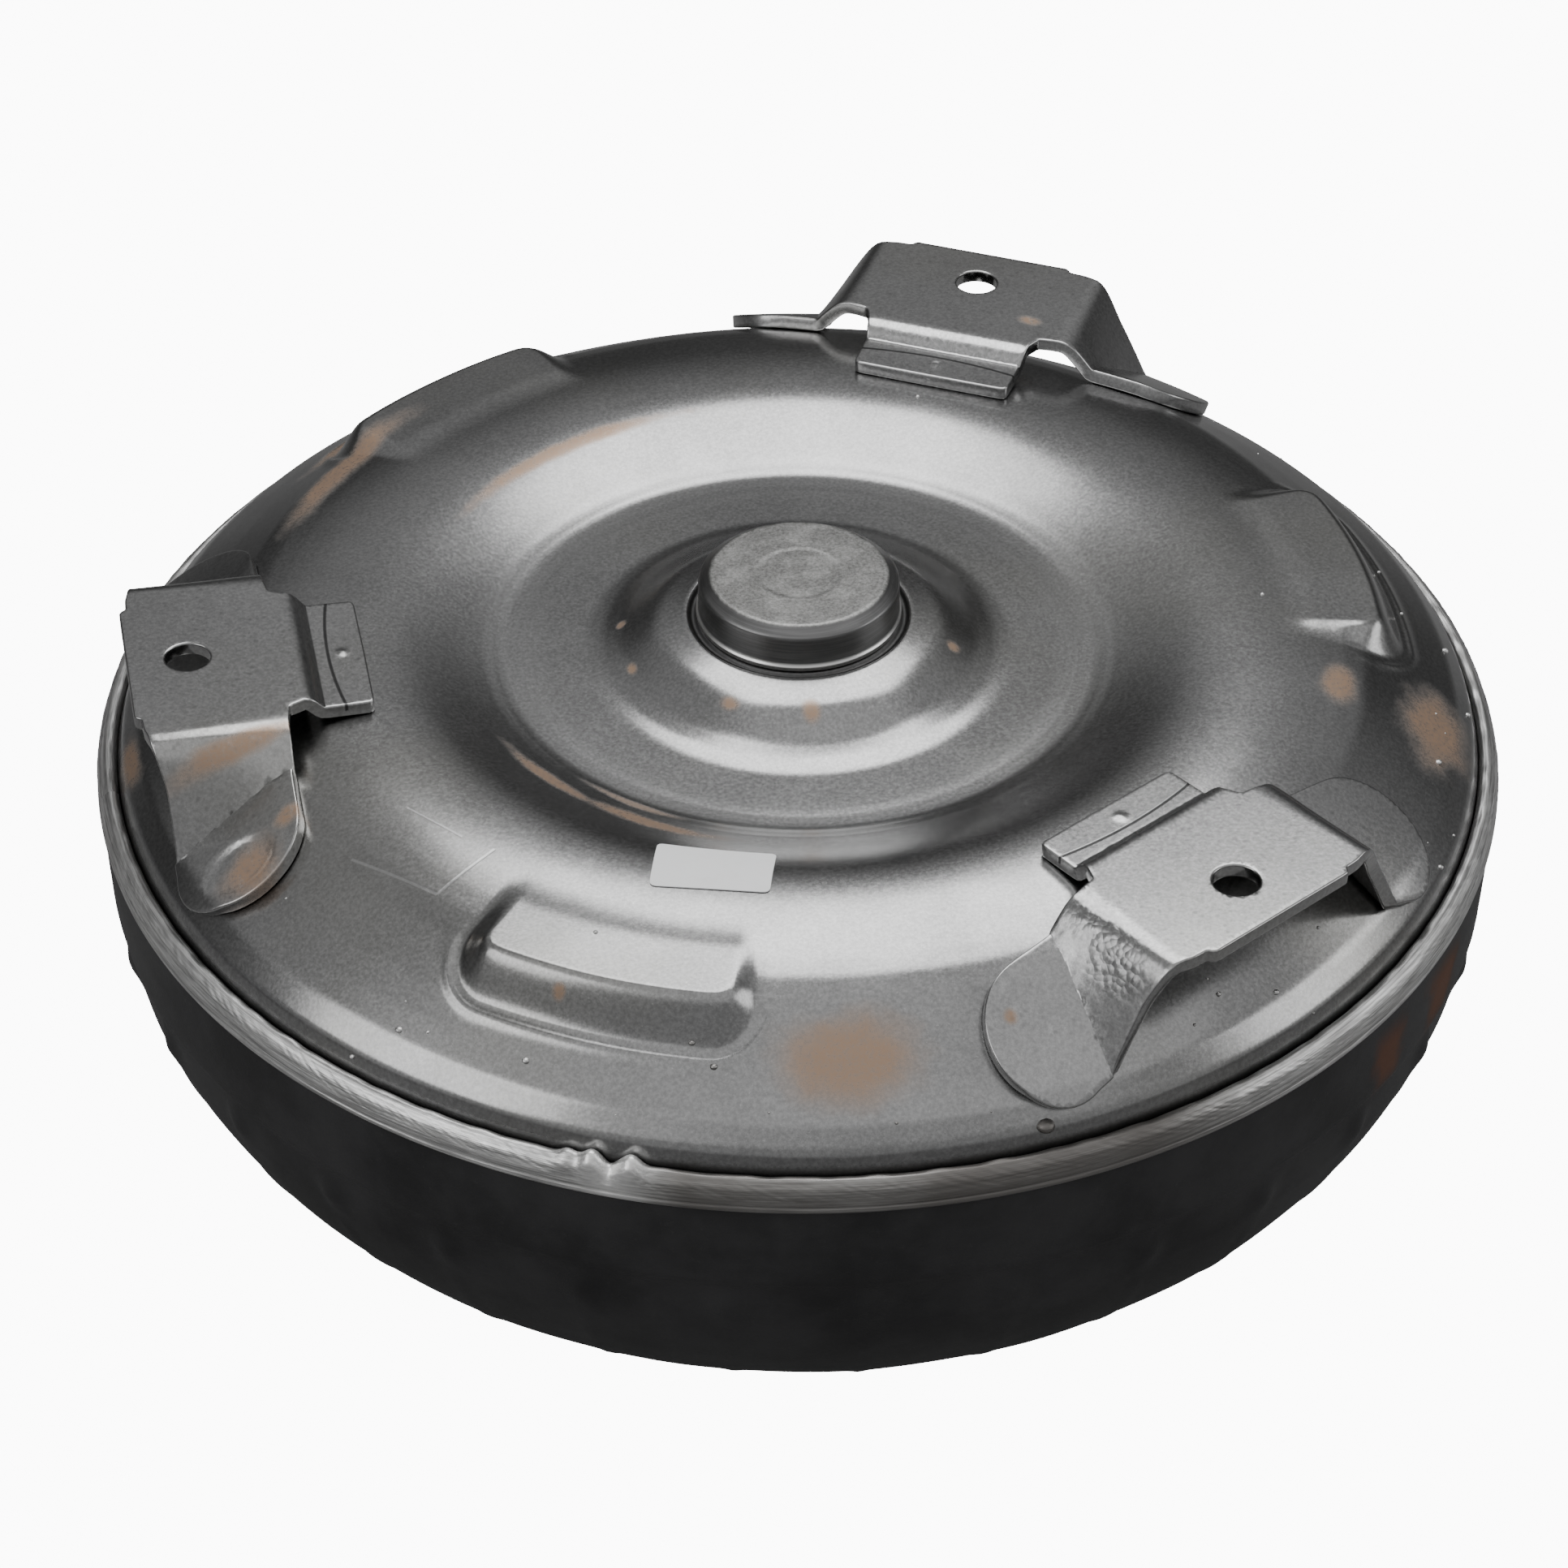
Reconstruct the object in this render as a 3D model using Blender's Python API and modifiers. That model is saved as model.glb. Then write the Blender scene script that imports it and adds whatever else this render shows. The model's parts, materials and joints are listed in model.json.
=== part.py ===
"""Torque converter, 306 mm over its closure weld, as an assembly of separate pieces.

The origin is the centre of the pump hub's end face. +Z is the turning axis and points to the
engine. Lengths below are in millimetres and angles in degrees; MM turns them into scene metres.
"""
import math

import bmesh
import bpy
from mathutils import Matrix

MM = 0.001
GAP = 0.4                      # between pieces that touch on the real object

# Facets round the turned pieces.
CASING_FACETS = 48
INNER_FACETS = 24
HUB_FACETS = 32

# Casing, measured from the plane where the front cover meets the impeller shell.
RIM_Z = 120.0                  # height of that plane over the pump hub's end face
WELD_RADIUS = 153.0
SHELL_RADIUS = 152.0
SHELL_WALL = 3.5
SKIRT_RADIUS = 147.6           # the cover's skirt inside the impeller shell
SKIRT_DEPTH = 8.0
COVER_WALL = 4.0
CREST_HEIGHT = 32.3            # the cover's highest ring
FLOOR_HEIGHT = 24.1            # the flat ring inside the crest
FRICTION_FACE = 16.8           # inside face that the clutch lining meets

# Pilot, which centres the converter in the crankshaft.
PILOT_RADIUS = 21.63
PILOT_TOP = 43.0
BOSS_TOP = 33.0

# Drive lugs and the raised pads between them.
LUG_ANGLES = (180.0, 300.0, 60.0)
EMBOSS_ANGLES = (240.0, 0.0, 120.0)
EMBOSS_HEIGHT = 31.8
BOLT_RADIUS = 131.0            # bolt circle 262 mm
BOLT_HOLE_RADIUS = 5.25
LUG_THICKNESS = 3.1
LUG_PAD_TOP = 38.8
LUG_TAB_TOP = 35.8

# Pump hub.
HUB_RADIUS = 23.8
HUB_BORE = 19.5
HUB_FLANGE_RADIUS = 40.3
HUB_SLEEVE_TOP = 48.0
HUB_COLLAR_TOP = 69.0
DRIVE_SLOT_WIDTH = 10.0
DRIVE_SLOT_DEPTH = 9.0

# Fluid passage: (radius, height) of the centre that the two core rings share, and blade counts.
CORE_RADIUS = 98.5
IMPELLER_CORE_Z = 97.0
TURBINE_CORE_Z = 100.0
IMPELLER_BLADES = 32
TURBINE_BLADES = 27
STATOR_BLADES = 13
BLADE_THICKNESS = 1.2

# One-way clutch.
ROLLERS = 6
ROLLER_RADIUS = 3.6
RACE_RADIUS = 26.0
RACE_BOTTOM = 76.0
RACE_TOP = 106.0

# Lock-up clutch.
RIVETS = 4
RIVET_CIRCLE = 37.0
SPRINGS = 4
SPRING_CIRCLE = 92.5
SPRING_Z = 139.0
SPRING_COIL_RADIUS = 3.9
SPRING_WIRE_RADIUS = 1.0
SPRING_TURNS = 5
SPRING_SPAN = 63.0             # degrees of arc that one spring fills

FINISHES = {
    "oiled_steel": ((0.20, 0.20, 0.20), 0.38, 1.0),
    "dark_steel": ((0.035, 0.035, 0.037), 0.55, 0.8),
    "machined_steel": ((0.42, 0.42, 0.43), 0.30, 1.0),
    "weld": ((0.30, 0.30, 0.30), 0.42, 1.0),
    "spring_steel": ((0.16, 0.17, 0.20), 0.33, 1.0),
    "cast_aluminium": ((0.55, 0.56, 0.57), 0.42, 1.0),
    "friction_paper": ((0.16, 0.11, 0.07), 0.90, 0.0),
    "nylon": ((0.09, 0.09, 0.10), 0.50, 0.0),
}


# ---------------------------------------------------------------- making pieces

def empty_the_scene():
    for old in list(bpy.data.objects):
        bpy.data.objects.remove(old, do_unlink=True)


def new_group(name):
    group = bpy.data.collections.new(name)
    bpy.context.scene.collection.children.link(group)
    return group


empty_the_scene()
PARTS = new_group("torque_converter")
CUTTERS = new_group("cutters")


def material(name, finish):
    colour, roughness, metallic = FINISHES[finish]
    surface = bpy.data.materials.new(name)
    surface.use_nodes = True
    shader = surface.node_tree.nodes["Principled BSDF"]
    shader.inputs["Base Color"].default_value = (*colour, 1.0)
    shader.inputs["Roughness"].default_value = roughness
    shader.inputs["Metallic"].default_value = metallic
    surface.diffuse_color = (*colour, 1.0)
    return surface


def place(name, mesh, finish, angle=0.0):
    """Put a mesh in the assembly under its own name, turned about the axis."""
    part = bpy.data.objects.new(name, mesh)
    part.rotation_euler.z = math.radians(angle)
    PARTS.objects.link(part)
    if not mesh.materials:
        mesh.materials.append(None)
    slot = part.material_slots[0]
    slot.link = "OBJECT"
    slot.material = material(name + "_finish", finish)
    return part


def guide(name, mesh):
    """A cutter, or a shape to be joined to another."""
    cutter = bpy.data.objects.new(name, mesh)
    cutter.hide_render = True
    cutter.display_type = "WIRE"
    CUTTERS.objects.link(cutter)
    return cutter


def settled_mesh(thing):
    """The mesh of an object with its modifiers worked out, smooth but for its real edges."""
    bpy.context.view_layer.update()
    depsgraph = bpy.context.evaluated_depsgraph_get()
    mesh = bpy.data.meshes.new_from_object(thing.evaluated_get(depsgraph))
    mesh.shade_smooth()
    mesh.set_sharp_from_angle(angle=math.radians(35.0))
    return mesh


def signed_area(outline):
    pairs = zip(outline, outline[1:] + outline[:1])
    return 0.5 * sum(a[0] * b[1] - b[0] * a[1] for a, b in pairs)


def turned_mesh(name, outline, facets):
    """A solid of revolution from its (radius, height) outline, run down its outer side."""
    if signed_area(outline) > 0.0:
        outline = outline[::-1]
    on_axis = min(radius for radius, _ in outline) == 0.0
    while on_axis and outline[0][0] > 0.0:
        outline = outline[1:] + outline[:1]
    edges = [(i, i + 1) for i in range(len(outline) - 1)]
    if on_axis and outline[-1][0] > 0.0:
        outline = outline[1:] + outline[:1]
    if not on_axis:
        edges.append((len(outline) - 1, 0))
    profile = bpy.data.meshes.new(name)
    profile.from_pydata([(r * MM, 0.0, z * MM) for r, z in outline], edges, [])
    thing = guide(name, profile)
    screw = thing.modifiers.new("turn", "SCREW")
    screw.steps = facets
    screw.render_steps = facets
    screw.use_merge_vertices = True
    screw.merge_threshold = 0.00001
    mesh = settled_mesh(thing)
    bpy.data.objects.remove(thing)
    return mesh


def turned(name, outline, finish, facets=INNER_FACETS):
    return place(name, turned_mesh(name, outline, facets), finish)


def ring(name, inner, outer, bottom, top, finish, facets=INNER_FACETS):
    outline = [(outer, top), (outer, bottom), (inner, bottom), (inner, top)]
    return turned(name, outline, finish, facets)


def arc(centre, radii, start, stop, count):
    """Points along an ellipse about centre, from start to stop degrees."""
    angles = [math.radians(start + (stop - start) * i / (count - 1)) for i in range(count)]
    return [(centre[0] + radii[0] * math.cos(a), centre[1] + radii[1] * math.sin(a)) for a in angles]


def offset_line(points, distance):
    """The same line moved sideways, to the right of its direction of travel."""
    moved = []
    for i, (x, y) in enumerate(points):
        before = points[max(i - 1, 0)]
        after = points[min(i + 1, len(points) - 1)]
        normals = []
        for a, b in ((before, (x, y)), ((x, y), after)):
            length = math.dist(a, b)
            if length > 0.0:
                normals.append(((b[1] - a[1]) / length, (a[0] - b[0]) / length))
        mean = [sum(n[k] for n in normals) / len(normals) for k in (0, 1)]
        square = mean[0] ** 2 + mean[1] ** 2
        moved.append((x + distance * mean[0] / square, y + distance * mean[1] / square))
    return moved


def sheet_outline(points, thickness):
    """Closed outline of a sheet with one face on points, thickened to the right of them."""
    return points + offset_line(points, thickness)[::-1]


def joined(part_mesh, others, operation="UNION"):
    """Cut or join the meshes of others with a mesh, one after another."""
    body = guide("body", part_mesh)
    for number, other in enumerate(others):
        boolean = body.modifiers.new(f"step_{number}", "BOOLEAN")
        boolean.operation = operation
        boolean.solver = "EXACT"
        boolean.object = guide(f"{part_mesh.name}_cutter_{number}", other)
    mesh = settled_mesh(body)
    bpy.data.objects.remove(body)
    return mesh


def prism_mesh(name, outline, bottom, top):
    """A flat outline in x and y, extruded upwards."""
    curve = bpy.data.curves.new(name, "CURVE")
    curve.dimensions = "2D"
    curve.fill_mode = "BOTH"
    curve.extrude = 0.5 * (top - bottom) * MM
    spline = curve.splines.new("POLY")
    spline.points.add(len(outline) - 1)
    for point, (x, y) in zip(spline.points, outline):
        point.co = (x * MM, y * MM, 0.0, 1.0)
    spline.use_cyclic_u = True
    return welded_mesh(curve, Matrix.Translation((0.0, 0.0, 0.5 * (top + bottom) * MM)))


def welded_mesh(curve, matrix=Matrix.Identity(4)):
    """The mesh of a curve, with its caps welded on."""
    thing = guide(curve.name, curve)
    mesh = settled_mesh(thing)
    bpy.data.objects.remove(thing)
    form = bmesh.new()
    form.from_mesh(mesh)
    bmesh.ops.remove_doubles(form, verts=form.verts, dist=0.00001)
    bmesh.ops.recalc_face_normals(form, faces=form.faces)
    bmesh.ops.transform(form, matrix=matrix, verts=form.verts)
    form.to_mesh(mesh)
    form.free()
    return mesh


def cylinders_mesh(name, radius, places, bottom, top, facets=12):
    """Upright cylinders standing at the given (x, y) places, as one mesh."""
    form = bmesh.new()
    for x, y in places:
        matrix = Matrix.Translation((x * MM, y * MM, 0.5 * (bottom + top) * MM))
        bmesh.ops.create_cone(form, cap_ends=True, segments=facets, radius1=radius * MM,
                              radius2=radius * MM, depth=(top - bottom) * MM, matrix=matrix)
    mesh = bpy.data.meshes.new(name)
    form.to_mesh(mesh)
    form.free()
    return mesh


def box_mesh(name, size, centre):
    form = bmesh.new()
    scale = Matrix.Diagonal((size[0] * MM, size[1] * MM, size[2] * MM, 1.0))
    matrix = Matrix.Translation([c * MM for c in centre]) @ scale
    bmesh.ops.create_cube(form, size=1.0, matrix=matrix)
    mesh = bpy.data.meshes.new(name)
    form.to_mesh(mesh)
    form.free()
    return mesh


def on_circle(radius, angle):
    return radius * math.cos(math.radians(angle)), radius * math.sin(math.radians(angle))


def circle_places(radius, count, start=0.0):
    return [on_circle(radius, start + 360.0 * i / count) for i in range(count)]


# ---------------------------------------------------------------- casing

COVER_TOP = [                  # (radius, height over the rim plane) of the cover's outside
    (0.0, BOSS_TOP), (23.0, BOSS_TOP), (31.0, 31.2), (38.5, 26.8), (46.0, FLOOR_HEIGHT + 0.1),
    (64.0, FLOOR_HEIGHT), (74.0, 27.5), (84.0, 31.3), (91.0, CREST_HEIGHT), (99.0, CREST_HEIGHT),
    (108.0, 31.2), (117.5, 29.1), (122.0, 27.3), (128.5, 23.3), (131.6, 21.2), (137.2, 17.5),
    (142.6, 13.8), (146.6, 9.6), (SKIRT_RADIUS, 6.4), (SKIRT_RADIUS, -SKIRT_DEPTH),
]
COVER_INSIDE = [               # the same for its inside, from the skirt to the centre
    (SKIRT_RADIUS - COVER_WALL, -SKIRT_DEPTH), (SKIRT_RADIUS - COVER_WALL, 4.0),
    (133.0, FRICTION_FACE), (116.5, FRICTION_FACE), (110.0, 22.0), (100.0, 28.2), (85.0, 28.2),
    (74.0, 23.3), (64.0, 20.1), (42.0, 20.1), (32.0, 25.6), (22.0, BOSS_TOP - 4.5),
    (0.0, BOSS_TOP - 4.5),
]


def cover_height(radius):
    """Height of the cover's outside over the rim plane, clear of the raised pads."""
    for (r0, z0), (r1, z1) in zip(COVER_TOP, COVER_TOP[1:]):
        if r0 <= radius <= r1 and r1 > r0:
            return z0 + (z1 - z0) * (radius - r0) / (r1 - r0)
    return COVER_TOP[-1][1]


def raise_pads(mesh):
    """Lift the three sectors between the lugs, with steep walls at their ends and outside."""
    facet = 360.0 / CASING_FACETS
    wall_angles = {1: 11.8, 2: 14.2}    # where the first two facet lines move to
    for vertex in mesh.vertices:
        x, y, z = vertex.co / MM
        radius = math.hypot(x, y)
        outside = 105.0 < radius < 134.0 and z - RIM_Z > cover_height(radius) - 1.0
        if not outside:
            continue
        angle = math.degrees(math.atan2(y, x)) % 360.0
        middle = min(EMBOSS_ANGLES, key=lambda m: abs((angle - m + 180.0) % 360.0 - 180.0))
        away = (angle - middle + 180.0) % 360.0 - 180.0
        line = round(abs(away) / facet)
        if line > 2:
            continue
        moved = math.copysign(wall_angles.get(line, 0.0), away)
        if line < 2 and radius < 130.0:
            z = RIM_Z + EMBOSS_HEIGHT
        x, y = on_circle(radius, middle + moved)
        vertex.co = (x * MM, y * MM, z * MM)


def front_cover():
    outline = [(r, RIM_Z + z) for r, z in COVER_TOP + COVER_INSIDE]
    mesh = turned_mesh("front_cover", outline, CASING_FACETS)
    raise_pads(mesh)
    place("front_cover", mesh, "oiled_steel")


def pilot():
    bottom = RIM_Z + BOSS_TOP + GAP
    top = RIM_Z + PILOT_TOP
    outline = [(0.0, top), (19.1, top), (PILOT_RADIUS, top - 2.0), (PILOT_RADIUS, bottom + 1.4),
               (PILOT_RADIUS + 0.5, bottom + 0.8), (PILOT_RADIUS + 0.5, bottom), (0.0, bottom)]
    turned("pilot", outline, "machined_steel", HUB_FACETS)


def closure_weld():
    inner = SKIRT_RADIUS + GAP
    outline = [(inner, 5.2), (149.6, 6.1), (152.0, 4.4), (WELD_RADIUS, 1.6), (WELD_RADIUS, 0.3),
               (inner, 0.3)]
    turned("closure_weld", [(r, RIM_Z + z) for r, z in outline], "weld", CASING_FACETS)


def impeller_outside():
    """Outer face of the impeller shell from the rim to the pump hub."""
    side = arc((CORE_RADIUS, 109.0), (SHELL_RADIUS - CORE_RADIUS, 69.0), 0.0, -90.0, 5)
    inner = arc((CORE_RADIUS, 68.75), (-62.0, 28.75), -90.0, -22.0, 4)
    return [(SHELL_RADIUS, RIM_Z)] + side + inner[1:]


def impeller_shell():
    outside = impeller_outside()
    inside = [(r, min(z, RIM_Z)) for r, z in offset_line(outside, SHELL_WALL)]
    turned("impeller_shell", outside + inside[::-1], "dark_steel", CASING_FACETS)


def pump_hub():
    """The sleeve that runs in the pump's bush, with two slots that drive the pump."""
    outline = [
        (HUB_RADIUS, HUB_SLEEVE_TOP), (HUB_RADIUS, 1.2), (HUB_RADIUS - 1.2, 0.0), (HUB_BORE + 1.0, 0.0),
        (HUB_BORE, 1.0), (HUB_BORE, HUB_SLEEVE_TOP),
    ]
    mesh = turned_mesh("pump_hub", outline, HUB_FACETS)
    slot_size = (DRIVE_SLOT_WIDTH, 4.0 * HUB_RADIUS, 2.0 * DRIVE_SLOT_DEPTH)
    slots = box_mesh("drive_slots", slot_size, (0.0, 0.0, 0.0))
    place("pump_hub", joined(mesh, [slots], "DIFFERENCE"), "machined_steel")


def hub_flange():
    """Forging between the hub sleeve and the impeller shell, with the rear bearing's seat."""
    rim = HUB_FLANGE_RADIUS - 1.0
    bottom = HUB_SLEEVE_TOP + GAP
    outline = [
        (36.0, HUB_COLLAR_TOP), (36.0, 63.5), (rim, 61.0), (rim, 52.0), (28.0, bottom),
        (HUB_BORE, bottom), (HUB_BORE, HUB_COLLAR_TOP),
    ]
    turned("hub_flange", outline, "machined_steel", HUB_FACETS)


def hub_weld():
    """Fillet weld in the corner under the impeller shell's inner edge."""
    inner = HUB_FLANGE_RADIUS - 1.0 + GAP
    outline = [(inner, 54.6), (inner + 3.2, 51.2), (inner + 1.0, 50.6), (inner, 51.6)]
    turned("hub_weld", outline, "weld", HUB_FACETS)


# ---------------------------------------------------------------- drive lugs

LUG_COLUMNS = {                # angle from the lug's middle: inner and outer radius of the strap
    0.0: (112.0, 143.5), 12.0: (115.0, 144.0), 16.2: (118.0, 144.0), 20.5: (120.5, 144.4),
    23.6: (124.5, 142.0), 25.0: (129.0, 138.0),
}
LUG_TAB_RADII = (94.4, 104.5)
LUG_TAB_HALF_WIDTH = 18.0
PAD_HALF_ANGLE = 12.0


def lug_mesh():
    """A stamped strap: a raised pad with an inner tab, two legs, and two feet on the cover."""
    form = bmesh.new()
    columns = [-a for a in reversed(LUG_COLUMNS) if a > 0.0] + list(LUG_COLUMNS)
    underside = LUG_PAD_TOP - LUG_THICKNESS

    def corner(radius, angle, height):
        x, y = on_circle(radius, angle)
        return form.verts.new((x * MM, y * MM, (RIM_Z + height) * MM))

    strap = {}
    for angle in columns:
        inner, outer = LUG_COLUMNS[abs(angle)]
        for row in range(4):
            radius = inner + (outer - inner) * row / 3
            on_cover = cover_height(radius) + 1.2
            height = underside if abs(angle) <= PAD_HALF_ANGLE else on_cover
            strap[angle, row] = corner(radius, angle, height)
    for left, right in zip(columns, columns[1:]):
        for row in range(3):
            face = (strap[left, row], strap[left, row + 1], strap[right, row + 1], strap[right, row])
            form.faces.new(face)
    tab = {}
    for row, radius in enumerate(LUG_TAB_RADII):
        half = math.degrees(math.asin(LUG_TAB_HALF_WIDTH / radius))
        for angle, side in ((-half, -PAD_HALF_ANGLE), (0.0, 0.0), (half, PAD_HALF_ANGLE)):
            tab[side, row] = corner(radius, angle, LUG_TAB_TOP - LUG_THICKNESS)
    for left, right in ((-PAD_HALF_ANGLE, 0.0), (0.0, PAD_HALF_ANGLE)):
        form.faces.new((tab[left, 0], tab[left, 1], tab[right, 1], tab[right, 0]))
        form.faces.new((tab[left, 1], strap[left, 0], strap[right, 0], tab[right, 1]))
    bmesh.ops.recalc_face_normals(form, faces=form.faces)
    if sum(face.normal.z for face in form.faces) < 0.0:
        bmesh.ops.reverse_faces(form, faces=form.faces)
    mesh = bpy.data.meshes.new("drive_lug_underside")
    form.to_mesh(mesh)
    form.free()
    strap_sheet = guide("drive_lug_sheet", mesh)
    solidify = strap_sheet.modifiers.new("thickness", "SOLIDIFY")
    solidify.thickness = LUG_THICKNESS * MM
    solidify.offset = 1.0
    solidify.use_even_offset = True
    solid = settled_mesh(strap_sheet)
    bpy.data.objects.remove(strap_sheet)
    hole = cylinders_mesh("bolt_hole", BOLT_HOLE_RADIUS, [(BOLT_RADIUS, 0.0)], RIM_Z + underside - 5.0,
                          RIM_Z + LUG_PAD_TOP + 5.0, INNER_FACETS)
    return joined(solid, [hole], "DIFFERENCE")


def drive_lugs():
    mesh = lug_mesh()
    for number, angle in enumerate(LUG_ANGLES, start=1):
        place(f"drive_lug_{number}", mesh, "oiled_steel", angle)


# ---------------------------------------------------------------- blades

def blades_mesh(name, stations, count):
    """Thin blades round the axis. A station is (wall point, core point, turn, thickness)."""
    form = bmesh.new()
    for number in range(count):
        rings = []
        for wall, core, turn, thickness in stations:
            angle = 360.0 * number / count + turn
            corners = []
            for (radius, height), side in ((wall, -1), (wall, 1), (core, 1), (core, -1)):
                shift = math.degrees(0.5 * side * thickness / radius)
                x, y = on_circle(radius, angle + shift)
                corners.append(form.verts.new((x * MM, y * MM, height * MM)))
            rings.append(corners)
        for a, b in zip(rings, rings[1:]):
            for k, n in ((0, 1), (1, 2), (2, 3), (0, 3)):    # one diagonal for both broad sides
                form.faces.new((a[k], a[n], b[n]))
                form.faces.new((a[k], b[n], b[k]))
        form.faces.new(rings[0][::-1])
        form.faces.new(rings[-1])
    bmesh.ops.recalc_face_normals(form, faces=form.faces)
    mesh = bpy.data.meshes.new(name)
    form.to_mesh(mesh)
    form.free()
    return mesh


def core_ring_mesh(name, height, depth):
    """Half of a hollow torus, open towards the other wheel. depth is negative for the impeller."""
    outer = arc((CORE_RADIUS, height), (21.0, depth), 4.0, 146.0, 4)
    thickness = math.copysign(2.2, depth)
    inner = arc((CORE_RADIUS, height), (21.0 - abs(thickness), depth - thickness), 4.0, 146.0, 4)
    return turned_mesh(name, outer + inner[::-1], INNER_FACETS)


def impeller_wall(angle):
    """A point just inside the impeller shell, by its angle round the core ring."""
    a = math.radians(angle)
    if angle <= 90.0:
        return CORE_RADIUS + 48.6 * math.cos(a), 109.0 - 64.2 * math.sin(a)
    return CORE_RADIUS + 60.0 * math.cos(a), 72.9 - 28.1 * math.sin(a)


def turbine_wall(angle):
    a = math.radians(angle)
    if angle <= 90.0:
        return CORE_RADIUS + 38.6 * math.cos(a), 101.0 + 24.6 * math.sin(a)
    return CORE_RADIUS + 56.5 * math.cos(a), 108.6 + 17.0 * math.sin(a)


def blade_stations(wall, core_height, core_depth, sweep):
    stations = []
    for angle in (12.0, 52.0, 96.0, 142.0):
        a = math.radians(angle)
        core = CORE_RADIUS + 19.9 * math.cos(a), core_height + core_depth * math.sin(a)
        turn = sweep * math.sin(math.radians(angle - 12.0) * 90.0 / 130.0) ** 2
        stations.append((wall(angle), core, turn, BLADE_THICKNESS))
    return stations


def impeller_blades():
    core = core_ring_mesh("impeller_blades", IMPELLER_CORE_Z, -22.0)
    stations = blade_stations(impeller_wall, IMPELLER_CORE_Z, -20.9, -12.0)
    blades = blades_mesh("impeller_blade_set", stations, IMPELLER_BLADES)
    place("impeller_blades", joined(core, [blades]), "oiled_steel")


def turbine_blades():
    core = core_ring_mesh("turbine_blades", TURBINE_CORE_Z, 19.0)
    stations = blade_stations(turbine_wall, TURBINE_CORE_Z, 17.9, 24.0)
    blades = blades_mesh("turbine_blade_set", stations, TURBINE_BLADES)
    place("turbine_blades", joined(core, [blades]), "oiled_steel")


# ---------------------------------------------------------------- turbine

def turbine_shell():
    inner = arc((CORE_RADIUS, 109.4), (-60.0, 20.6), 24.7, 90.0, 4)
    outer = arc((CORE_RADIUS, 100.0), (43.0, 30.0), 90.0, 0.0, 5)
    outside = [(27.0, 118.0)] + inner + outer[1:]
    mesh = turned_mesh("turbine_shell", sheet_outline(outside, 2.0), INNER_FACETS)
    holes = cylinders_mesh("shell_rivet_holes", 2.6, circle_places(RIVET_CIRCLE, RIVETS, 45.0), 110.0, 125.0)
    place("turbine_shell", joined(mesh, [holes], "DIFFERENCE"), "oiled_steel")


def star(inner, outer, teeth):
    """Outline of a splined hole: straight-sided grooves round a circle."""
    points = []
    for tooth in range(teeth):
        for part, radius in ((0.0, inner), (0.45, inner), (0.55, outer), (0.9, outer)):
            points.append(on_circle(radius, 360.0 * (tooth + part) / teeth))
    return points


def turbine_hub():
    outline = [
        (20.5, 145.9), (20.5, 138.0), (24.0, 138.0), (24.0, 115.6), (47.0, 115.6), (47.0, 112.0),
        (14.0, 112.0), (14.0, 145.9),
    ]
    mesh = turned_mesh("turbine_hub", outline, INNER_FACETS)
    holes = cylinders_mesh("hub_rivet_holes", 2.6, circle_places(RIVET_CIRCLE, RIVETS, 45.0), 110.0, 120.0)
    splines = prism_mesh("turbine_splines", star(13.6, 15.6, 16), 105.0, 150.0)
    place("turbine_hub", joined(mesh, [holes, splines], "DIFFERENCE"), "machined_steel")


def hub_rivets():
    outline = [(0.0, 120.2), (3.2, 120.2), (4.2, 119.2), (4.2, 118.4), (2.2, 118.4), (2.2, 111.7), (0.0, 111.7)]
    mesh = turned_mesh("hub_rivet", outline, 8)
    for number, (x, y) in enumerate(circle_places(RIVET_CIRCLE, RIVETS, 45.0), start=1):
        rivet = place(f"hub_rivet_{number}", mesh, "spring_steel")
        rivet.location = (x * MM, y * MM, 0.0)


# ---------------------------------------------------------------- lock-up clutch

def damper_hub():
    """Driven plate, splined on the turbine hub, with an arm between each pair of springs."""
    outline = [
        (24.5, 135.0), (33.0, 135.0), (34.0, 134.0), (70.0, 134.0), (82.0, 140.4), (85.0, 140.4),
        (85.0, 137.6), (83.0, 137.6), (71.0, 131.2), (33.0, 131.2), (33.0, 126.0), (24.5, 126.0),
    ]
    mesh = turned_mesh("damper_hub", outline, INNER_FACETS)
    arms = []
    for number in range(SPRINGS):
        middle = 360.0 * number / SPRINGS
        corners = [on_circle(83.5, middle - 11.0), on_circle(97.5, middle - 12.5),
                   on_circle(98.3, middle), on_circle(97.5, middle + 12.5), on_circle(83.5, middle + 11.0)]
        arms.append(prism_mesh(f"damper_arm_{number}", corners, 138.0, 140.0))
    place("damper_hub", joined(mesh, arms), "oiled_steel")


def clutch_piston():
    top = [(25.2, 138.6), (64.5, 138.6), (76.0, 141.6), (87.0, 146.8), (98.5, 146.8), (108.0, 141.0),
           (115.0, 134.2), (131.5, 134.2)]
    turned("clutch_piston", sheet_outline(top, 2.4), "oiled_steel")


def friction_lining():
    ring("friction_lining", 117.5, 130.5, 134.6, 135.6, "friction_paper", INNER_FACETS)


def spring_retainer():
    """Channel under the springs, with a stop between each pair of them."""
    outline = [(106.0, 138.6), (106.0, 131.3), (87.0, 131.3), (87.0, 133.0), (104.4, 133.0), (104.4, 138.6)]
    mesh = turned_mesh("spring_retainer", outline, INNER_FACETS)
    stops = []
    for number in range(SPRINGS):
        middle = 360.0 * number / SPRINGS
        corners = [on_circle(88.5, middle - 12.3), on_circle(100.6, middle - 12.5),
                   on_circle(101.8, middle), on_circle(100.6, middle + 12.5), on_circle(88.5, middle + 12.3)]
        stops.append(prism_mesh(f"spring_stop_{number}", corners, 132.2, 137.0))
    place("spring_retainer", joined(mesh, stops), "spring_steel")


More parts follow.
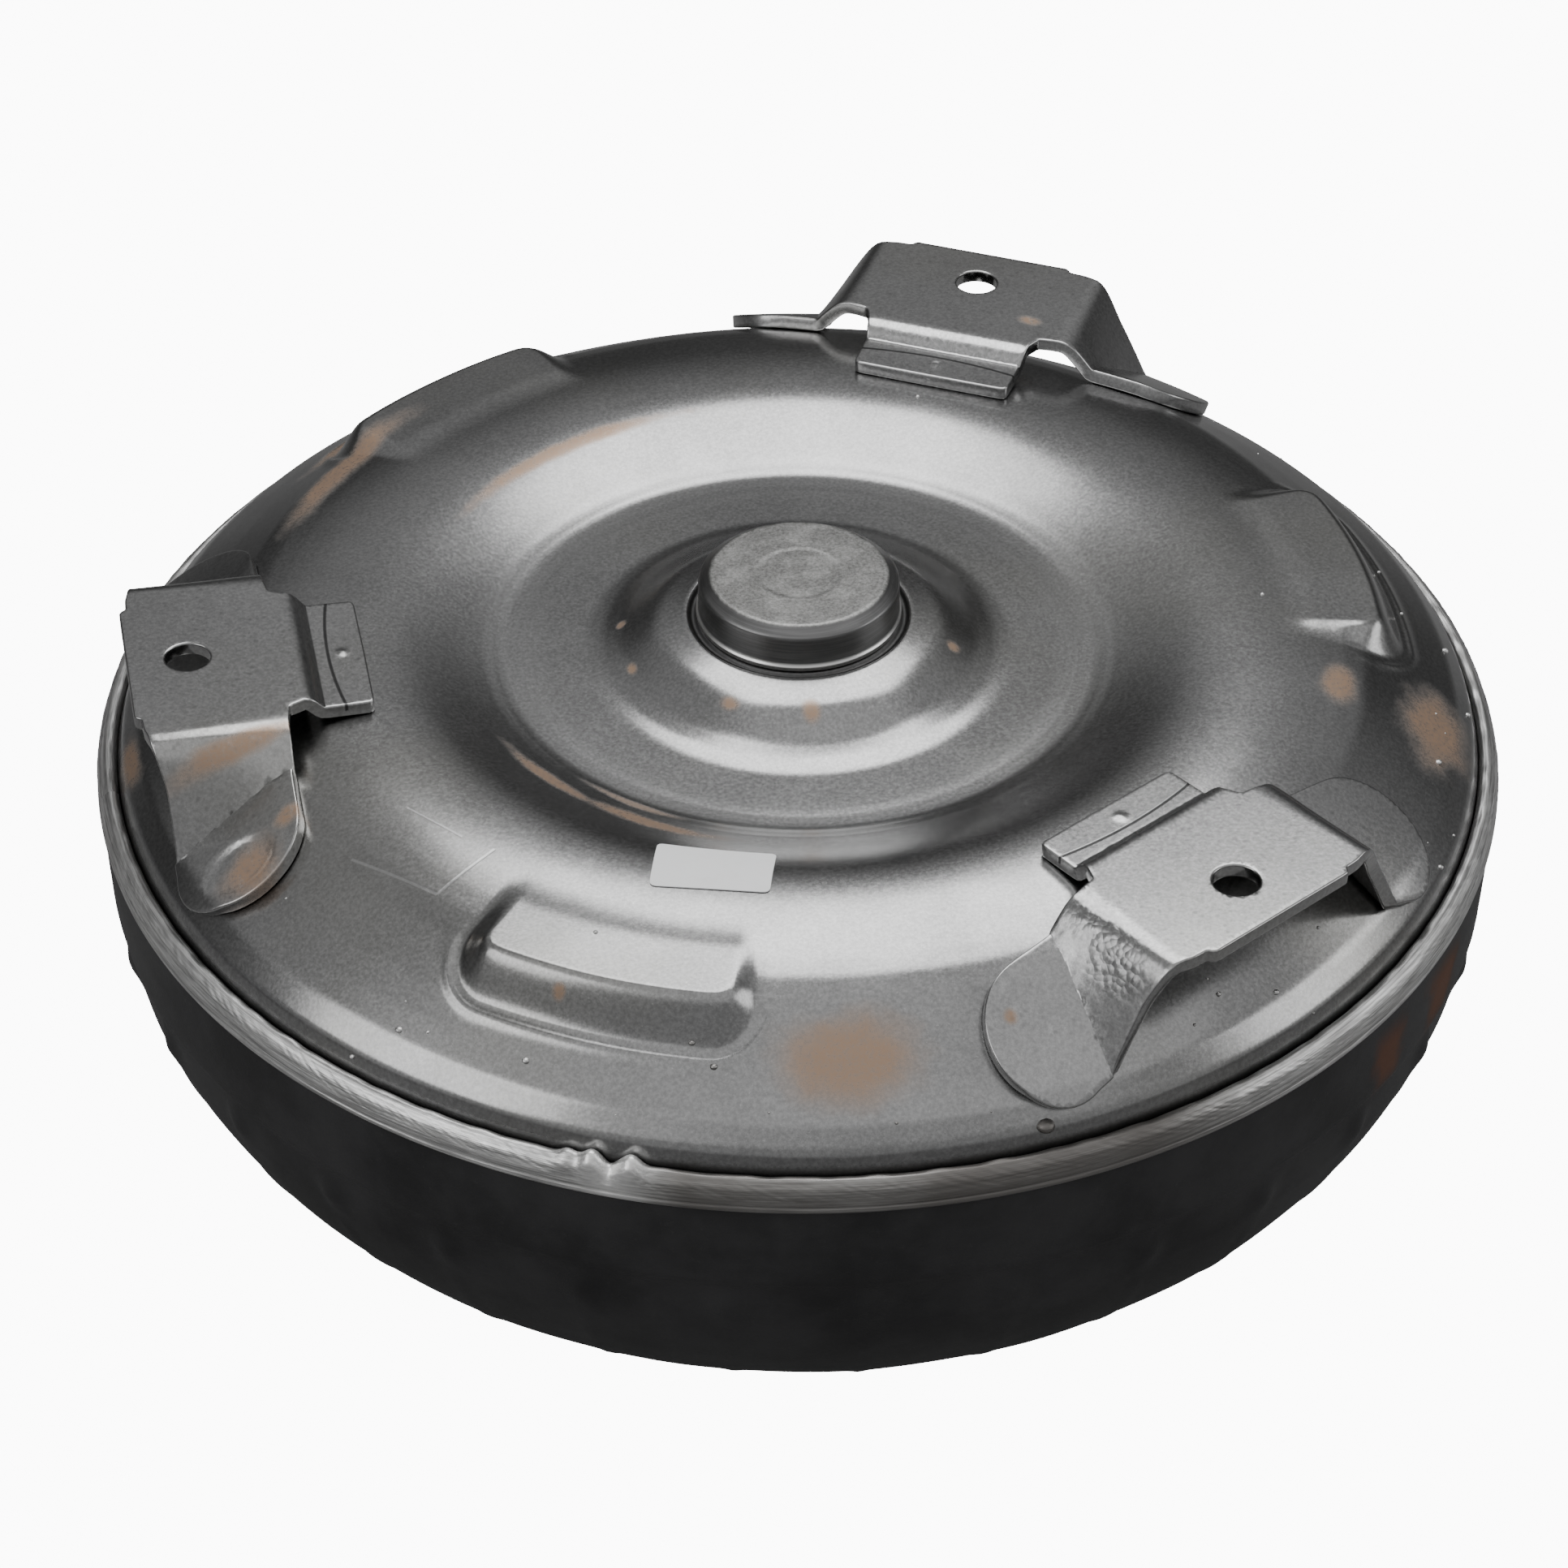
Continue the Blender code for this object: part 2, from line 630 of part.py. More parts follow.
def damper_springs():
    """Coil springs bent round the damper's circle."""
    points_per_turn = 6
    count = SPRING_TURNS * points_per_turn + 1
    for number in range(SPRINGS):
        middle = 360.0 * (number + 0.5) / SPRINGS
        curve = bpy.data.curves.new(f"damper_spring_{number + 1}", "CURVE")
        curve.dimensions = "3D"
        curve.bevel_depth = SPRING_WIRE_RADIUS * MM
        curve.bevel_resolution = 0
        curve.use_fill_caps = True
        spline = curve.splines.new("POLY")
        spline.points.add(count - 1)
        for i, point in enumerate(spline.points):
            share = i / (count - 1)
            turn = 2.0 * math.pi * i / points_per_turn
            x, y = on_circle(SPRING_CIRCLE + SPRING_COIL_RADIUS * math.cos(turn),
                             middle + SPRING_SPAN * (share - 0.5))
            z = SPRING_Z + SPRING_COIL_RADIUS * math.sin(turn)
            point.co = (x * MM, y * MM, z * MM, 1.0)
        place(curve.name, welded_mesh(curve), "spring_steel")


# ---------------------------------------------------------------- stator and one-way clutch

def stator_wheel():
    hub = turned_mesh("stator_wheel", [(50.0, RACE_TOP), (50.0, RACE_BOTTOM), (42.4, RACE_BOTTOM),
                                       (42.4, RACE_TOP)], INNER_FACETS)
    shroud = turned_mesh("stator_shroud", [(78.0, 106.0), (78.0, 88.0), (75.0, 88.0), (75.0, 106.0)],
                         INNER_FACETS)
    stations = []
    for height, turn, thickness in ((104.5, 0.0, 3.6), (98.0, 4.0, 3.2), (91.5, 12.0, 2.0), (89.0, 16.5, 1.0)):
        stations.append(((48.5, height), (76.5, height), turn, thickness))
    blades = blades_mesh("stator_blade_set", stations, STATOR_BLADES)
    place("stator_wheel", joined(joined(hub, [blades]), [shroud]), "cast_aluminium")


def clutch_outer_race():
    inner = RACE_RADIUS + 4.5
    mesh = turned_mesh("clutch_outer_race", [(42.0, RACE_TOP), (42.0, RACE_BOTTOM), (inner, RACE_BOTTOM),
                                             (inner, RACE_TOP)], INNER_FACETS)
    centre = RACE_RADIUS + GAP + ROLLER_RADIUS
    pockets = cylinders_mesh("roller_pockets", ROLLER_RADIUS + 0.8, circle_places(centre + 0.3, ROLLERS),
                             RACE_BOTTOM - 5.0, RACE_TOP + 5.0, 16)
    place("clutch_outer_race", joined(mesh, [pockets], "DIFFERENCE"), "machined_steel")


def clutch_inner_race():
    mesh = turned_mesh("clutch_inner_race", [(RACE_RADIUS, RACE_TOP), (RACE_RADIUS, RACE_BOTTOM),
                                             (17.0, RACE_BOTTOM), (17.0, RACE_TOP)], INNER_FACETS)
    splines = prism_mesh("race_splines", star(16.6, 18.6, 16), RACE_BOTTOM - 5.0, RACE_TOP + 5.0)
    place("clutch_inner_race", joined(mesh, [splines], "DIFFERENCE"), "machined_steel")


def clutch_rollers():
    mesh = turned_mesh("clutch_roller", [(0.0, RACE_TOP - 3.0), (ROLLER_RADIUS, RACE_TOP - 3.0),
                                         (ROLLER_RADIUS, RACE_BOTTOM + 3.0), (0.0, RACE_BOTTOM + 3.0)], 12)
    centre = RACE_RADIUS + GAP + ROLLER_RADIUS
    for number, (x, y) in enumerate(circle_places(centre, ROLLERS), start=1):
        roller = place(f"clutch_roller_{number}", mesh, "machined_steel")
        roller.location = (x * MM, y * MM, 0.0)


def rings_and_bearings():
    ring("stator_rear_cap", 27.0, 42.0, RACE_BOTTOM - 2.4, RACE_BOTTOM - GAP, "nylon")
    ring("stator_front_cap", 27.0, 42.0, RACE_TOP + GAP, RACE_TOP + 2.4, "nylon")
    ring("stator_snap_ring", 43.0, 46.0, RACE_TOP + GAP, RACE_TOP + 1.8, "spring_steel")
    ring("rear_thrust_bearing", 24.0, 35.0, HUB_COLLAR_TOP + GAP, RACE_BOTTOM - 2.8, "machined_steel")
    ring("middle_thrust_bearing", 28.0, 40.0, RACE_TOP + 2.8, 111.6, "machined_steel")
    ring("front_thrust_bearing", 15.0, 20.0, 146.3, RIM_Z + BOSS_TOP - 4.9, "machined_steel")
    ring("piston_seal", 21.0, 23.6, 138.4, 140.0, "nylon")


front_cover()
pilot()
closure_weld()
impeller_shell()
pump_hub()
hub_flange()
hub_weld()
drive_lugs()
impeller_blades()
turbine_blades()
turbine_shell()
turbine_hub()
hub_rivets()
damper_hub()
clutch_piston()
friction_lining()
spring_retainer()
damper_springs()
stator_wheel()
clutch_outer_race()
clutch_inner_race()
clutch_rollers()
rings_and_bearings()
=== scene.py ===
"""The looks of the torque converter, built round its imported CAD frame.

Lengths are in millimetres and angles in degrees, in the frame's own axes: +Z is the turning axis,
towards the engine, and the drive lugs stand at 180, 300 and 60 degrees from +X.
"""
import json
import math
import random

import bmesh
import bpy
import numpy as np
from mathutils import Matrix, Vector
from mathutils.geometry import delaunay_2d_cdt


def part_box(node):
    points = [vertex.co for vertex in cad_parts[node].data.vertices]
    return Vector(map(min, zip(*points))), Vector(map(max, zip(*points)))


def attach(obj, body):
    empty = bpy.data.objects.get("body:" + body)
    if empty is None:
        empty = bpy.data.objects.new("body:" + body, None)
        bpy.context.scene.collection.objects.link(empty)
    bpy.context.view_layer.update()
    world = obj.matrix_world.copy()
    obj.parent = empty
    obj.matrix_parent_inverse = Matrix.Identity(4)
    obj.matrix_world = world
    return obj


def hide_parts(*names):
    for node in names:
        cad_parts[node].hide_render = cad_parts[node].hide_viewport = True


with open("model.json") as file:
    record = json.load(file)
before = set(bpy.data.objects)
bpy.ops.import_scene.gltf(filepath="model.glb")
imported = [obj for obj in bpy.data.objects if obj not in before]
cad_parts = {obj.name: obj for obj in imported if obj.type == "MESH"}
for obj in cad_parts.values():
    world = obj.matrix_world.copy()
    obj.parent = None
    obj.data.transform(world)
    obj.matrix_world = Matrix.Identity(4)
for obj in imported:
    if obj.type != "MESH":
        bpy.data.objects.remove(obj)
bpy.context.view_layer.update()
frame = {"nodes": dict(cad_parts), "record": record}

MM = 0.001


def top_of(node):
    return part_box(node)[1][2] / MM


def reach_of(node):
    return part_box(node)[1][0] / MM


RIM_Z = top_of("impeller_shell")          # plane between the front cover and the impeller shell
WELD_RADIUS = reach_of("closure_weld")
SHELL_RADIUS = reach_of("impeller_shell")
PILOT_RADIUS = reach_of("pilot") - 0.5    # without the lip at its foot
PILOT_TOP = top_of("pilot") - RIM_Z
LUG_PAD_TOP = top_of("drive_lug_1") - RIM_Z
HUB_RADIUS = reach_of("pump_hub")
LUG_ANGLES = (180.0, 300.0, 60.0)
PAD_ANGLES = (240.6, 0.6, 120.6)          # middles of the three raised pads
BLADES = 32
WELD_START = 244.6                        # where the closure weld begins and ends


# ---------------------------------------------------------------- shader expressions

class Value:
    """A shader socket that Python's operators work on."""

    def __init__(self, finish, socket):
        self.finish = finish
        self.socket = socket

    def math(self, operation, first, second=0.0):
        return self.finish.node("ShaderNodeMath", {"operation": operation}, {0: first, 1: second})

    def __add__(self, other):
        return self.math("ADD", self, other)

    def __radd__(self, other):
        return self.math("ADD", other, self)

    def __sub__(self, other):
        return self.math("SUBTRACT", self, other)

    def __rsub__(self, other):
        return self.math("SUBTRACT", other, self)

    def __mul__(self, other):
        return self.math("MULTIPLY", self, other)

    def __rmul__(self, other):
        return self.math("MULTIPLY", other, self)

    def __truediv__(self, other):
        return self.math("DIVIDE", self, other)

    def __pow__(self, other):
        return self.math("POWER", self, other)

    def __gt__(self, other):
        return self.math("GREATER_THAN", self, other)

    def __abs__(self):
        return self.math("ABSOLUTE", self)

    def sine(self):
        return self.math("SINE", self)

    def ramp(self, low, high):
        """0 at low and below, 1 at high and above, and smooth between them."""
        sockets = {"Value": self, "From Min": low, "From Max": high}
        settings = {"interpolation_type": "SMOOTHSTEP", "clamp": True}
        return self.finish.node("ShaderNodeMapRange", settings, sockets)


class Nodes:
    """A node tree under construction."""

    def __init__(self, tree):
        self.tree = tree

    def node(self, kind, settings=None, sockets=None, output=0):
        node = self.tree.nodes.new(kind)
        for key, value in (settings or {}).items():
            setattr(node, key, value)
        for key, value in (sockets or {}).items():
            self.feed(node.inputs[key], value)
        return Value(self, node.outputs[output])

    def feed(self, socket, value):
        if isinstance(value, Value):
            self.tree.links.new(value.socket, socket)
        else:
            socket.default_value = value


class Finish(Nodes):
    """A procedural material under construction."""

    def __init__(self, name, **constants):
        self.material = bpy.data.materials.new(name)
        self.material.use_nodes = True
        super().__init__(self.material.node_tree)
        self.shader = self.tree.nodes["Principled BSDF"]
        for socket, value in constants.items():
            self.shader.inputs[socket.replace("_", " ")].default_value = value
        self.place = self.node("ShaderNodeTexCoord", output="Object")
        self.x = self.node("ShaderNodeSeparateXYZ", sockets={0: self.place}) / MM
        self.y = self.node("ShaderNodeSeparateXYZ", sockets={0: self.place}, output=1) / MM
        self.z = self.node("ShaderNodeSeparateXYZ", sockets={0: self.place}, output=2) / MM
        self.radius = (self.x * self.x + self.y * self.y) ** 0.5

    def noise(self, size, detail=2.0, roughness=0.5, stretch=(1.0, 1.0, 1.0)):
        """Noise from 0 to 1 whose lumps are about size millimetres across."""
        sockets = {0: self.place, 1: stretch}
        where = self.node("ShaderNodeVectorMath", {"operation": "MULTIPLY"}, sockets)
        sockets = {"Vector": where, "Scale": 1.0 / (size * MM), "Detail": detail, "Roughness": roughness}
        return self.node("ShaderNodeTexNoise", {}, sockets)

    def round_noise(self, size, along):
        """Noise drawn out along the turning direction, as left by a lathe or a weld."""
        angle = self.x.math("ARCTAN2", self.y, self.x)
        where = self.node("ShaderNodeCombineXYZ", {}, {0: self.radius / size, 1: self.z / size,
                                                       2: angle * (150.0 / along)})
        return self.node("ShaderNodeTexNoise", {}, {"Vector": where, "Scale": 1.0, "Detail": 3.0})

    def cells(self, size):
        sockets = {"Vector": self.place, "Scale": 1.0 / (size * MM)}
        return self.node("ShaderNodeTexVoronoi", {}, sockets)

    def blend(self, factor, first, second):
        """Colours mixed by factor; each is a tuple of red, green and blue, or another blend."""
        pair = [(*c, 1.0) if isinstance(c, tuple) else c for c in (first, second)]
        return self.node("ShaderNodeMix", {"data_type": "RGBA"}, {0: factor, 6: pair[0], 7: pair[1]}, 2)

    def spot(self, angle, radius, length, width, ragged=0.8):
        """1 inside an oval patch that lies along the circle of that radius, 0 outside it."""
        cosine, sine = math.cos(math.radians(angle)), math.sin(math.radians(angle))
        outward = self.x * cosine + self.y * sine
        sideways = self.y * cosine - self.x * sine
        across = (self.radius - radius) / width
        along = sideways / length
        distance = (across * across + along * along) ** 0.5 + (self.noise(7.0, 4.0) - 0.5) * ragged
        return (1.0 - distance.ramp(0.35, 1.25)) * (outward > 0.0)

    def scratch(self, start, end, width):
        """A thin straight line between two (x, y) points."""
        length = math.dist(start, end)
        ux, uy = (end[0] - start[0]) / length, (end[1] - start[1]) / length
        along = (self.x - start[0]) * ux + (self.y - start[1]) * uy
        across = abs((self.y - start[1]) * ux - (self.x - start[0]) * uy)
        inside = (along > 0.0) * ((length - along) > 0.0)
        return (1.0 - across.ramp(0.3 * width, width)) * inside

    def finish(self, colour, roughness, height=None, depth=0.1, metallic=None):
        """Connect what changes over the surface. depth is the bump's, in millimetres."""
        self.feed(self.shader.inputs["Base Color"], colour)
        self.feed(self.shader.inputs["Roughness"], roughness)
        if metallic is not None:
            self.feed(self.shader.inputs["Metallic"], metallic)
        if height is not None:
            sockets = {"Strength": 1.0, "Distance": depth * MM, "Height": height}
            self.feed(self.shader.inputs["Normal"], self.node("ShaderNodeBump", {}, sockets))
        return self.material


# ---------------------------------------------------------------- finishes

RUST = (0.36, 0.235, 0.155)
# Faint rust on the cover: angle, radius, half length and half width.
COVER_RUST = (
    (263.0, 132.5, 15.0, 8.5), (214.0, 73.0, 16.0, 2.0), (233.0, 72.8, 18.0, 2.4),
    (227.0, 66.5, 13.0, 1.3), (139.0, 119.0, 26.0, 4.2), (129.5, 131.0, 18.0, 3.4),
    (340.0, 138.0, 14.0, 8.0), (338.5, 116.5, 7.0, 4.2),
    (232.7, 32.8, 2.5, 1.6), (263.5, 32.5, 2.2, 2.6), (189.0, 38.0, 2.0, 1.2), (164.0, 38.6, 1.6, 1.2),
    (335.0, 34.0, 1.8, 1.6), (118.0, 84.2, 30.0, 2.0), (179.0, 145.0, 9.0, 2.5), (237.2, 128.2, 1.5, 1.0),
)
# Thin scribed lines on the cover, each from one (x, y) to another.
SCRIBED = (
    ((-104.4, -60.2), (-89.0, -76.0)),
    ((-89.0, -76.0), (-76.0, -67.5)),
    ((-91.8, -49.9), (-81.9, -62.1)),
)


def pressed_steel(name, light=0.46, dark=0.25, rust=(), scribed=(), extra=None):
    """Oiled sheet steel: satin grey with a fine speckle, soft stains and a little rust."""
    finish = Finish(name, Metallic=1.0)
    grain = finish.noise(0.8, 3.0, 0.65)
    speck = finish.noise(0.45, 1.0)
    cloud = finish.noise(38.0, 4.0, 0.55)
    stain = finish.noise(11.0, 5.0, 0.6)
    tone = grain.ramp(0.25, 0.78) * 0.62 + cloud.ramp(0.3, 0.7) * 0.26 + stain.ramp(0.35, 0.7) * 0.12
    colour = finish.blend(tone, (dark,) * 3, (light,) * 3)
    colour = finish.blend(speck.ramp(0.66, 0.78) * 0.35, colour, (0.62, 0.62, 0.61))
    warm = finish.noise(60.0, 2.0).ramp(0.45, 0.75) * 0.16
    colour = finish.blend(warm, colour, (0.33, 0.32, 0.26))
    rusty = None
    for spot in rust:
        here = finish.spot(*spot)
        rusty = here if rusty is None else rusty.math("MAXIMUM", rusty, here)
    roughness = 0.19 + grain * 0.08 - stain.ramp(0.4, 0.75) * 0.03
    height = grain * 0.7 + speck * 0.3
    if rusty is not None:
        rusty = rusty * (0.62 + grain.ramp(0.3, 0.6) * 0.3)
        colour = finish.blend(rusty, colour, RUST)
        roughness = roughness + rusty * 0.10
    for start, end in scribed:
        line = finish.scratch(start, end, 0.45)
        colour = finish.blend(line * 0.5, colour, (0.6, 0.6, 0.6))
        height = height - line * 1.5
    if extra is not None:
        colour, roughness, height = extra(finish, colour, roughness, height)
    metallic = None if rusty is None else 1.0 - rusty * 0.7
    return finish.finish(colour, roughness, height, 0.009, metallic)


def cover_details(finish, colour, roughness, height):
    """Painted shade in the cover's grooves, and the tool lines of its dish."""
    # painted shade: the gap by the rim weld and the groove round the pilot's boss are darkened in the colour
    # and made rougher, in place of real shadow
    rim_gap_shade = (1.0 - finish.z.ramp(RIM_Z + 5.6, RIM_Z + 7.2)) * (finish.radius > 140.0)
    boss_groove_shade = 1.0 - abs(finish.radius - 22.9).ramp(0.6, 1.6)
    painted_groove_shade = rim_gap_shade.math("MAXIMUM", rim_gap_shade, boss_groove_shade)
    drawn = finish.round_noise(0.9, 60.0)
    rings = (1.0 - abs(finish.radius - 63.0).ramp(4.0, 9.0)) * 0.35
    colour = finish.blend(painted_groove_shade * 0.8, colour, (0.03, 0.03, 0.03))
    colour = finish.blend(rings * drawn, colour, (0.55, 0.55, 0.55))
    return colour, roughness + painted_groove_shade * 0.2, height + drawn * rings


def lug_details(number):
    def details(finish, colour, roughness, height):
        """Handling scratches, small pits and the tab's dark forming line."""
        scuffs = finish.noise(3.0, 6.0, 0.7, (1.0, 0.3, 1.0)).ramp(0.55, 0.72)
        pits = 1.0 - finish.cells(2.6).ramp(0.05, 0.3)
        colour = finish.blend(scuffs * 0.30, colour, (0.62, 0.62, 0.62))
        colour = finish.blend(pits * 0.25, colour, (0.12, 0.12, 0.12))
        line = (1.0 - abs(finish.radius - 101.6).ramp(0.15, 0.5)) * (finish.z > RIM_Z + LUG_PAD_TOP - 5.0)
        colour = finish.blend(line * 0.85, colour, (0.03, 0.03, 0.03))
        height = height - line * 2.0 + scuffs * 0.5 - pits * 0.4
        if number == 2:
            leg = finish.spot(286.6, 128.0, 5.0, 14.0, 0.4)
            height = height - finish.cells(1.5) * leg * 11.0
            colour = finish.blend(leg * 0.35, colour, (0.16, 0.16, 0.16))
        return colour, roughness - scuffs * 0.06, height
    return details


def cover_finish():
    return pressed_steel("cover_steel", 0.44, 0.24, COVER_RUST, SCRIBED, cover_details)


LUG_RUST = {
    1: ((203.0, 135.0, 6.5, 7.0), (201.5, 124.0, 2.6, 3.4), (193.4, 128.0, 2.2, 15.0)),
    2: ((277.0, 131.0, 1.6, 1.6),),
    3: ((52.0, 120.0, 3.0, 2.0),),
}


def lug_finish(number):
    return pressed_steel(f"lug_steel_{number}", 0.50, 0.29, LUG_RUST[number], (), lug_details(number))


def weld_finish(name="weld_metal"):
    """Weld metal: bright, with fine ripples along the bead, dull stretches and a bright start lump."""
    finish = Finish(name, Metallic=1.0)
    ripple = finish.round_noise(0.55, 9.0)
    streak = finish.round_noise(0.28, 40.0)
    burnt = finish.noise(45.0, 3.0).ramp(0.42, 0.7)
    tone = ripple.ramp(0.3, 0.7) * 0.55 + streak.ramp(0.35, 0.65) * 0.45
    after_start = finish.x.ramp(-64.0, -50.0) * (1.0 - finish.x.ramp(40.0, 90.0)) * ((0.0 - finish.y) > 60.0)
    start = finish.spot(WELD_START, 150.5, 8.5, 4.0, 0.3)
    colour = finish.blend(tone, (0.34, 0.34, 0.34), (0.95, 0.95, 0.94))
    colour = finish.blend(burnt * 0.25 + after_start * 0.7, colour, (0.17, 0.16, 0.15))
    colour = finish.blend(start * 0.85, colour, (0.95, 0.95, 0.94))
    roughness = 0.30 + burnt * 0.18 + streak * 0.12
    return finish.finish(colour, roughness, ripple * 0.6 + streak * 0.6, 0.09)


SHELL_RUST = ((321.5, 151.0, 9.0, 10.0), (312.0, 150.0, 6.0, 9.0))


def shell_finish():
    """Black oxide on the impeller shell, dull and slightly dusty, with rust coming through."""
    finish = Finish("shell_black_oxide")
    grain = finish.noise(0.9, 3.0, 0.6)
    cloud = finish.noise(30.0, 4.0, 0.6)
    dust = finish.noise(2.2, 5.0, 0.75).ramp(0.58, 0.8)
    colour = finish.blend(cloud.ramp(0.3, 0.7), (0.028, 0.028, 0.029), (0.058, 0.058, 0.060))
    colour = finish.blend(dust * 0.3, colour, (0.10, 0.10, 0.10))
    rusty = None
    for angle, radius, length, width in SHELL_RUST:
        band = 1.0 - abs(finish.z - RIM_Z + 14.0).ramp(3.0, 11.0)
        here = finish.spot(angle, radius, length, width, 1.4) * band
        rusty = here if rusty is None else rusty.math("MAXIMUM", rusty, here)
    colour = finish.blend(rusty * 0.75, colour, (0.14, 0.055, 0.025))
    roughness = 0.44 + cloud * 0.16 + rusty * 0.2
    return finish.finish(colour, roughness, grain * 0.6 + dust * 0.6, 0.05, metallic=0.55 - rusty * 0.4)


def pilot_finish():
    """Turned steel: rings on the end face, a dark bright side, and stains from handling."""
    finish = Finish("pilot_turned_steel", Metallic=1.0)
    face = finish.z.ramp(RIM_Z + PILOT_TOP - 0.5, RIM_Z + PILOT_TOP - 0.1)
    turning = finish.round_noise(0.35, 120.0)
    rings = (finish.radius * 3.6).sine() * 0.5 + 0.5
    stain = finish.noise(6.0, 6.0, 0.7).ramp(0.42, 0.68)
    grain = finish.noise(0.7, 4.0, 0.7)
    tone = grain.ramp(0.25, 0.75) * 0.5 + turning * 0.25 + stain * 0.25
    on_face = finish.blend(tone, (0.09, 0.09, 0.087), (0.44, 0.44, 0.43))
    on_side = finish.blend(turning, (0.10, 0.10, 0.10), (0.28, 0.28, 0.28))
    on_side = finish.blend(finish.z.ramp(RIM_Z + 34.9, RIM_Z + 34.3), on_side, (0.66, 0.66, 0.65))
    colour = finish.blend(face, on_side, on_face)
    roughness = 0.26 + face * 0.14 + stain * 0.08 + grain * 0.06
    return finish.finish(colour, roughness, turning * 0.5 + rings * 0.12 * face + grain * 0.5 * face, 0.035)


def hub_finish():
    """Ground hub sleeve with fine turning lines and a polished seal track."""
    finish = Finish("hub_ground_steel", Metallic=1.0)
    turning = finish.round_noise(0.3, 150.0)
    track = 1.0 - abs(finish.z - 30.0).ramp(2.0, 4.0)
    stain = finish.noise(9.0, 5.0, 0.65).ramp(0.45, 0.7)
    colour = finish.blend(turning, (0.34, 0.34, 0.34), (0.60, 0.60, 0.59))
    colour = finish.blend(stain * 0.35, colour, (0.26, 0.24, 0.21))
    roughness = 0.28 - track * 0.10 + stain * 0.10 + turning * 0.06
    return finish.finish(colour, roughness, turning, 0.012)


def label_finish():
    """White paper label with a fine fibre and faint soiling."""
    finish = Finish("paper_label")
    fibre = finish.noise(0.35, 4.0, 0.7)
    soil = finish.noise(5.0, 5.0, 0.7).ramp(0.5, 0.8)
    colour = finish.blend(fibre, (0.93, 0.94, 0.95), (0.97, 0.98, 0.98))
    colour = finish.blend(soil * 0.15, colour, (0.55, 0.54, 0.50))
    return finish.finish(colour, 0.55 + fibre * 0.1, fibre, 0.02)


def inner_finish(name, dark, light, size, metallic, roughness):
    """A finish for the pieces inside: grain, machining or casting texture by its size."""
    finish = Finish(name, Metallic=metallic)
    grain = finish.noise(size, 4.0, 0.65)
    wear = finish.noise(14.0, 4.0, 0.6).ramp(0.4, 0.75)
    lathe = finish.round_noise(0.5, 90.0)
    colour = finish.blend(grain.ramp(0.3, 0.7), dark, light)
    colour = finish.blend(wear * 0.2, colour, tuple(1.2 * c for c in light))
    return finish.finish(colour, roughness + wear * 0.1 - grain * 0.05, grain * 0.6 + lathe * 0.4, 0.05)


INNER_FINISHES = {             # dark and light colour, grain size, metallic, roughness
    "oiled_steel": ((0.20, 0.20, 0.20), (0.36, 0.36, 0.35), 0.9, 1.0, 0.40),
    "machined_steel": ((0.42, 0.42, 0.42), (0.60, 0.60, 0.59), 0.4, 1.0, 0.26),
    "spring_steel": ((0.13, 0.14, 0.17), (0.24, 0.25, 0.29), 0.6, 1.0, 0.32),
    "cast_aluminium": ((0.50, 0.51, 0.52), (0.68, 0.69, 0.70), 1.3, 1.0, 0.46),
    "friction_paper": ((0.10, 0.065, 0.04), (0.20, 0.14, 0.09), 0.7, 0.0, 0.85),
    "nylon": ((0.06, 0.06, 0.065), (0.11, 0.11, 0.12), 1.1, 0.0, 0.50),
}


# ---------------------------------------------------------------- shapes

def rounded(corners, step=0.5):
    """A polyline of (x, y, fillet radius) corners with its corners rounded, as dense points."""
    path = [np.array(corners[0][:2], float)]
    for before, corner, after in zip(corners, corners[1:], corners[2:]):
        p, a, b = (np.array(c[:2], float) for c in (corner, before, after))
        to_a, to_b = (a - p) / np.linalg.norm(a - p), (b - p) / np.linalg.norm(b - p)
        turn = math.pi - math.acos(max(-1.0, min(1.0, float(to_a @ to_b))))
        room = 0.49 * min(np.linalg.norm(a - p), np.linalg.norm(b - p))
        reach = min(corner[2] * math.tan(0.5 * turn), room)
        if turn < 0.01 or reach < 0.05:
            path.append(p)
            continue
        count = max(3, int(reach / step))
        for t in np.linspace(0.0, 1.0, count):
            start, end = p + to_a * reach, p + to_b * reach
            path.append((1 - t) ** 2 * start + 2 * t * (1 - t) * p + t ** 2 * end)
    path.append(np.array(corners[-1][:2], float))
    return np.array(path)


def resampled(path, spacing):
    """The same polyline with points a set spacing apart; spacing may depend on (x, y)."""
    lengths = np.concatenate([[0.0], np.cumsum(np.linalg.norm(np.diff(path, axis=0), axis=1))])
    at, places = 0.0, []
    while at < lengths[-1]:
        places.append(at)
        here = [np.interp(at, lengths, path[:, k]) for k in (0, 1)]
        at += spacing(*here) if callable(spacing) else spacing
    places.append(lengths[-1])
    return np.stack([np.interp(places, lengths, path[:, k]) for k in (0, 1)], axis=1)


def sideways(path):
    """Unit normals of a polyline, to the left of its direction of travel."""
    run = np.gradient(path, axis=0)
    run /= np.maximum(np.linalg.norm(run, axis=1, keepdims=True), 1e-9)
    return np.stack([-run[:, 1], run[:, 0]], axis=1)


def smoothstep(value, low, high):
    t = np.clip((value - low) / (high - low), 0.0, 1.0)
    return t * t * (3.0 - 2.0 * t)


def wobble(angle, seed, low, high, count=9):
    """A smooth random function of the angle in radians, about -1 to 1."""
    chance = random.Random(seed)
    total = np.zeros_like(angle)
    for _ in range(count):
        waves = chance.randint(low, high)
        total += np.sin(waves * angle + chance.uniform(0.0, 2.0 * math.pi))
    return total / math.sqrt(count)


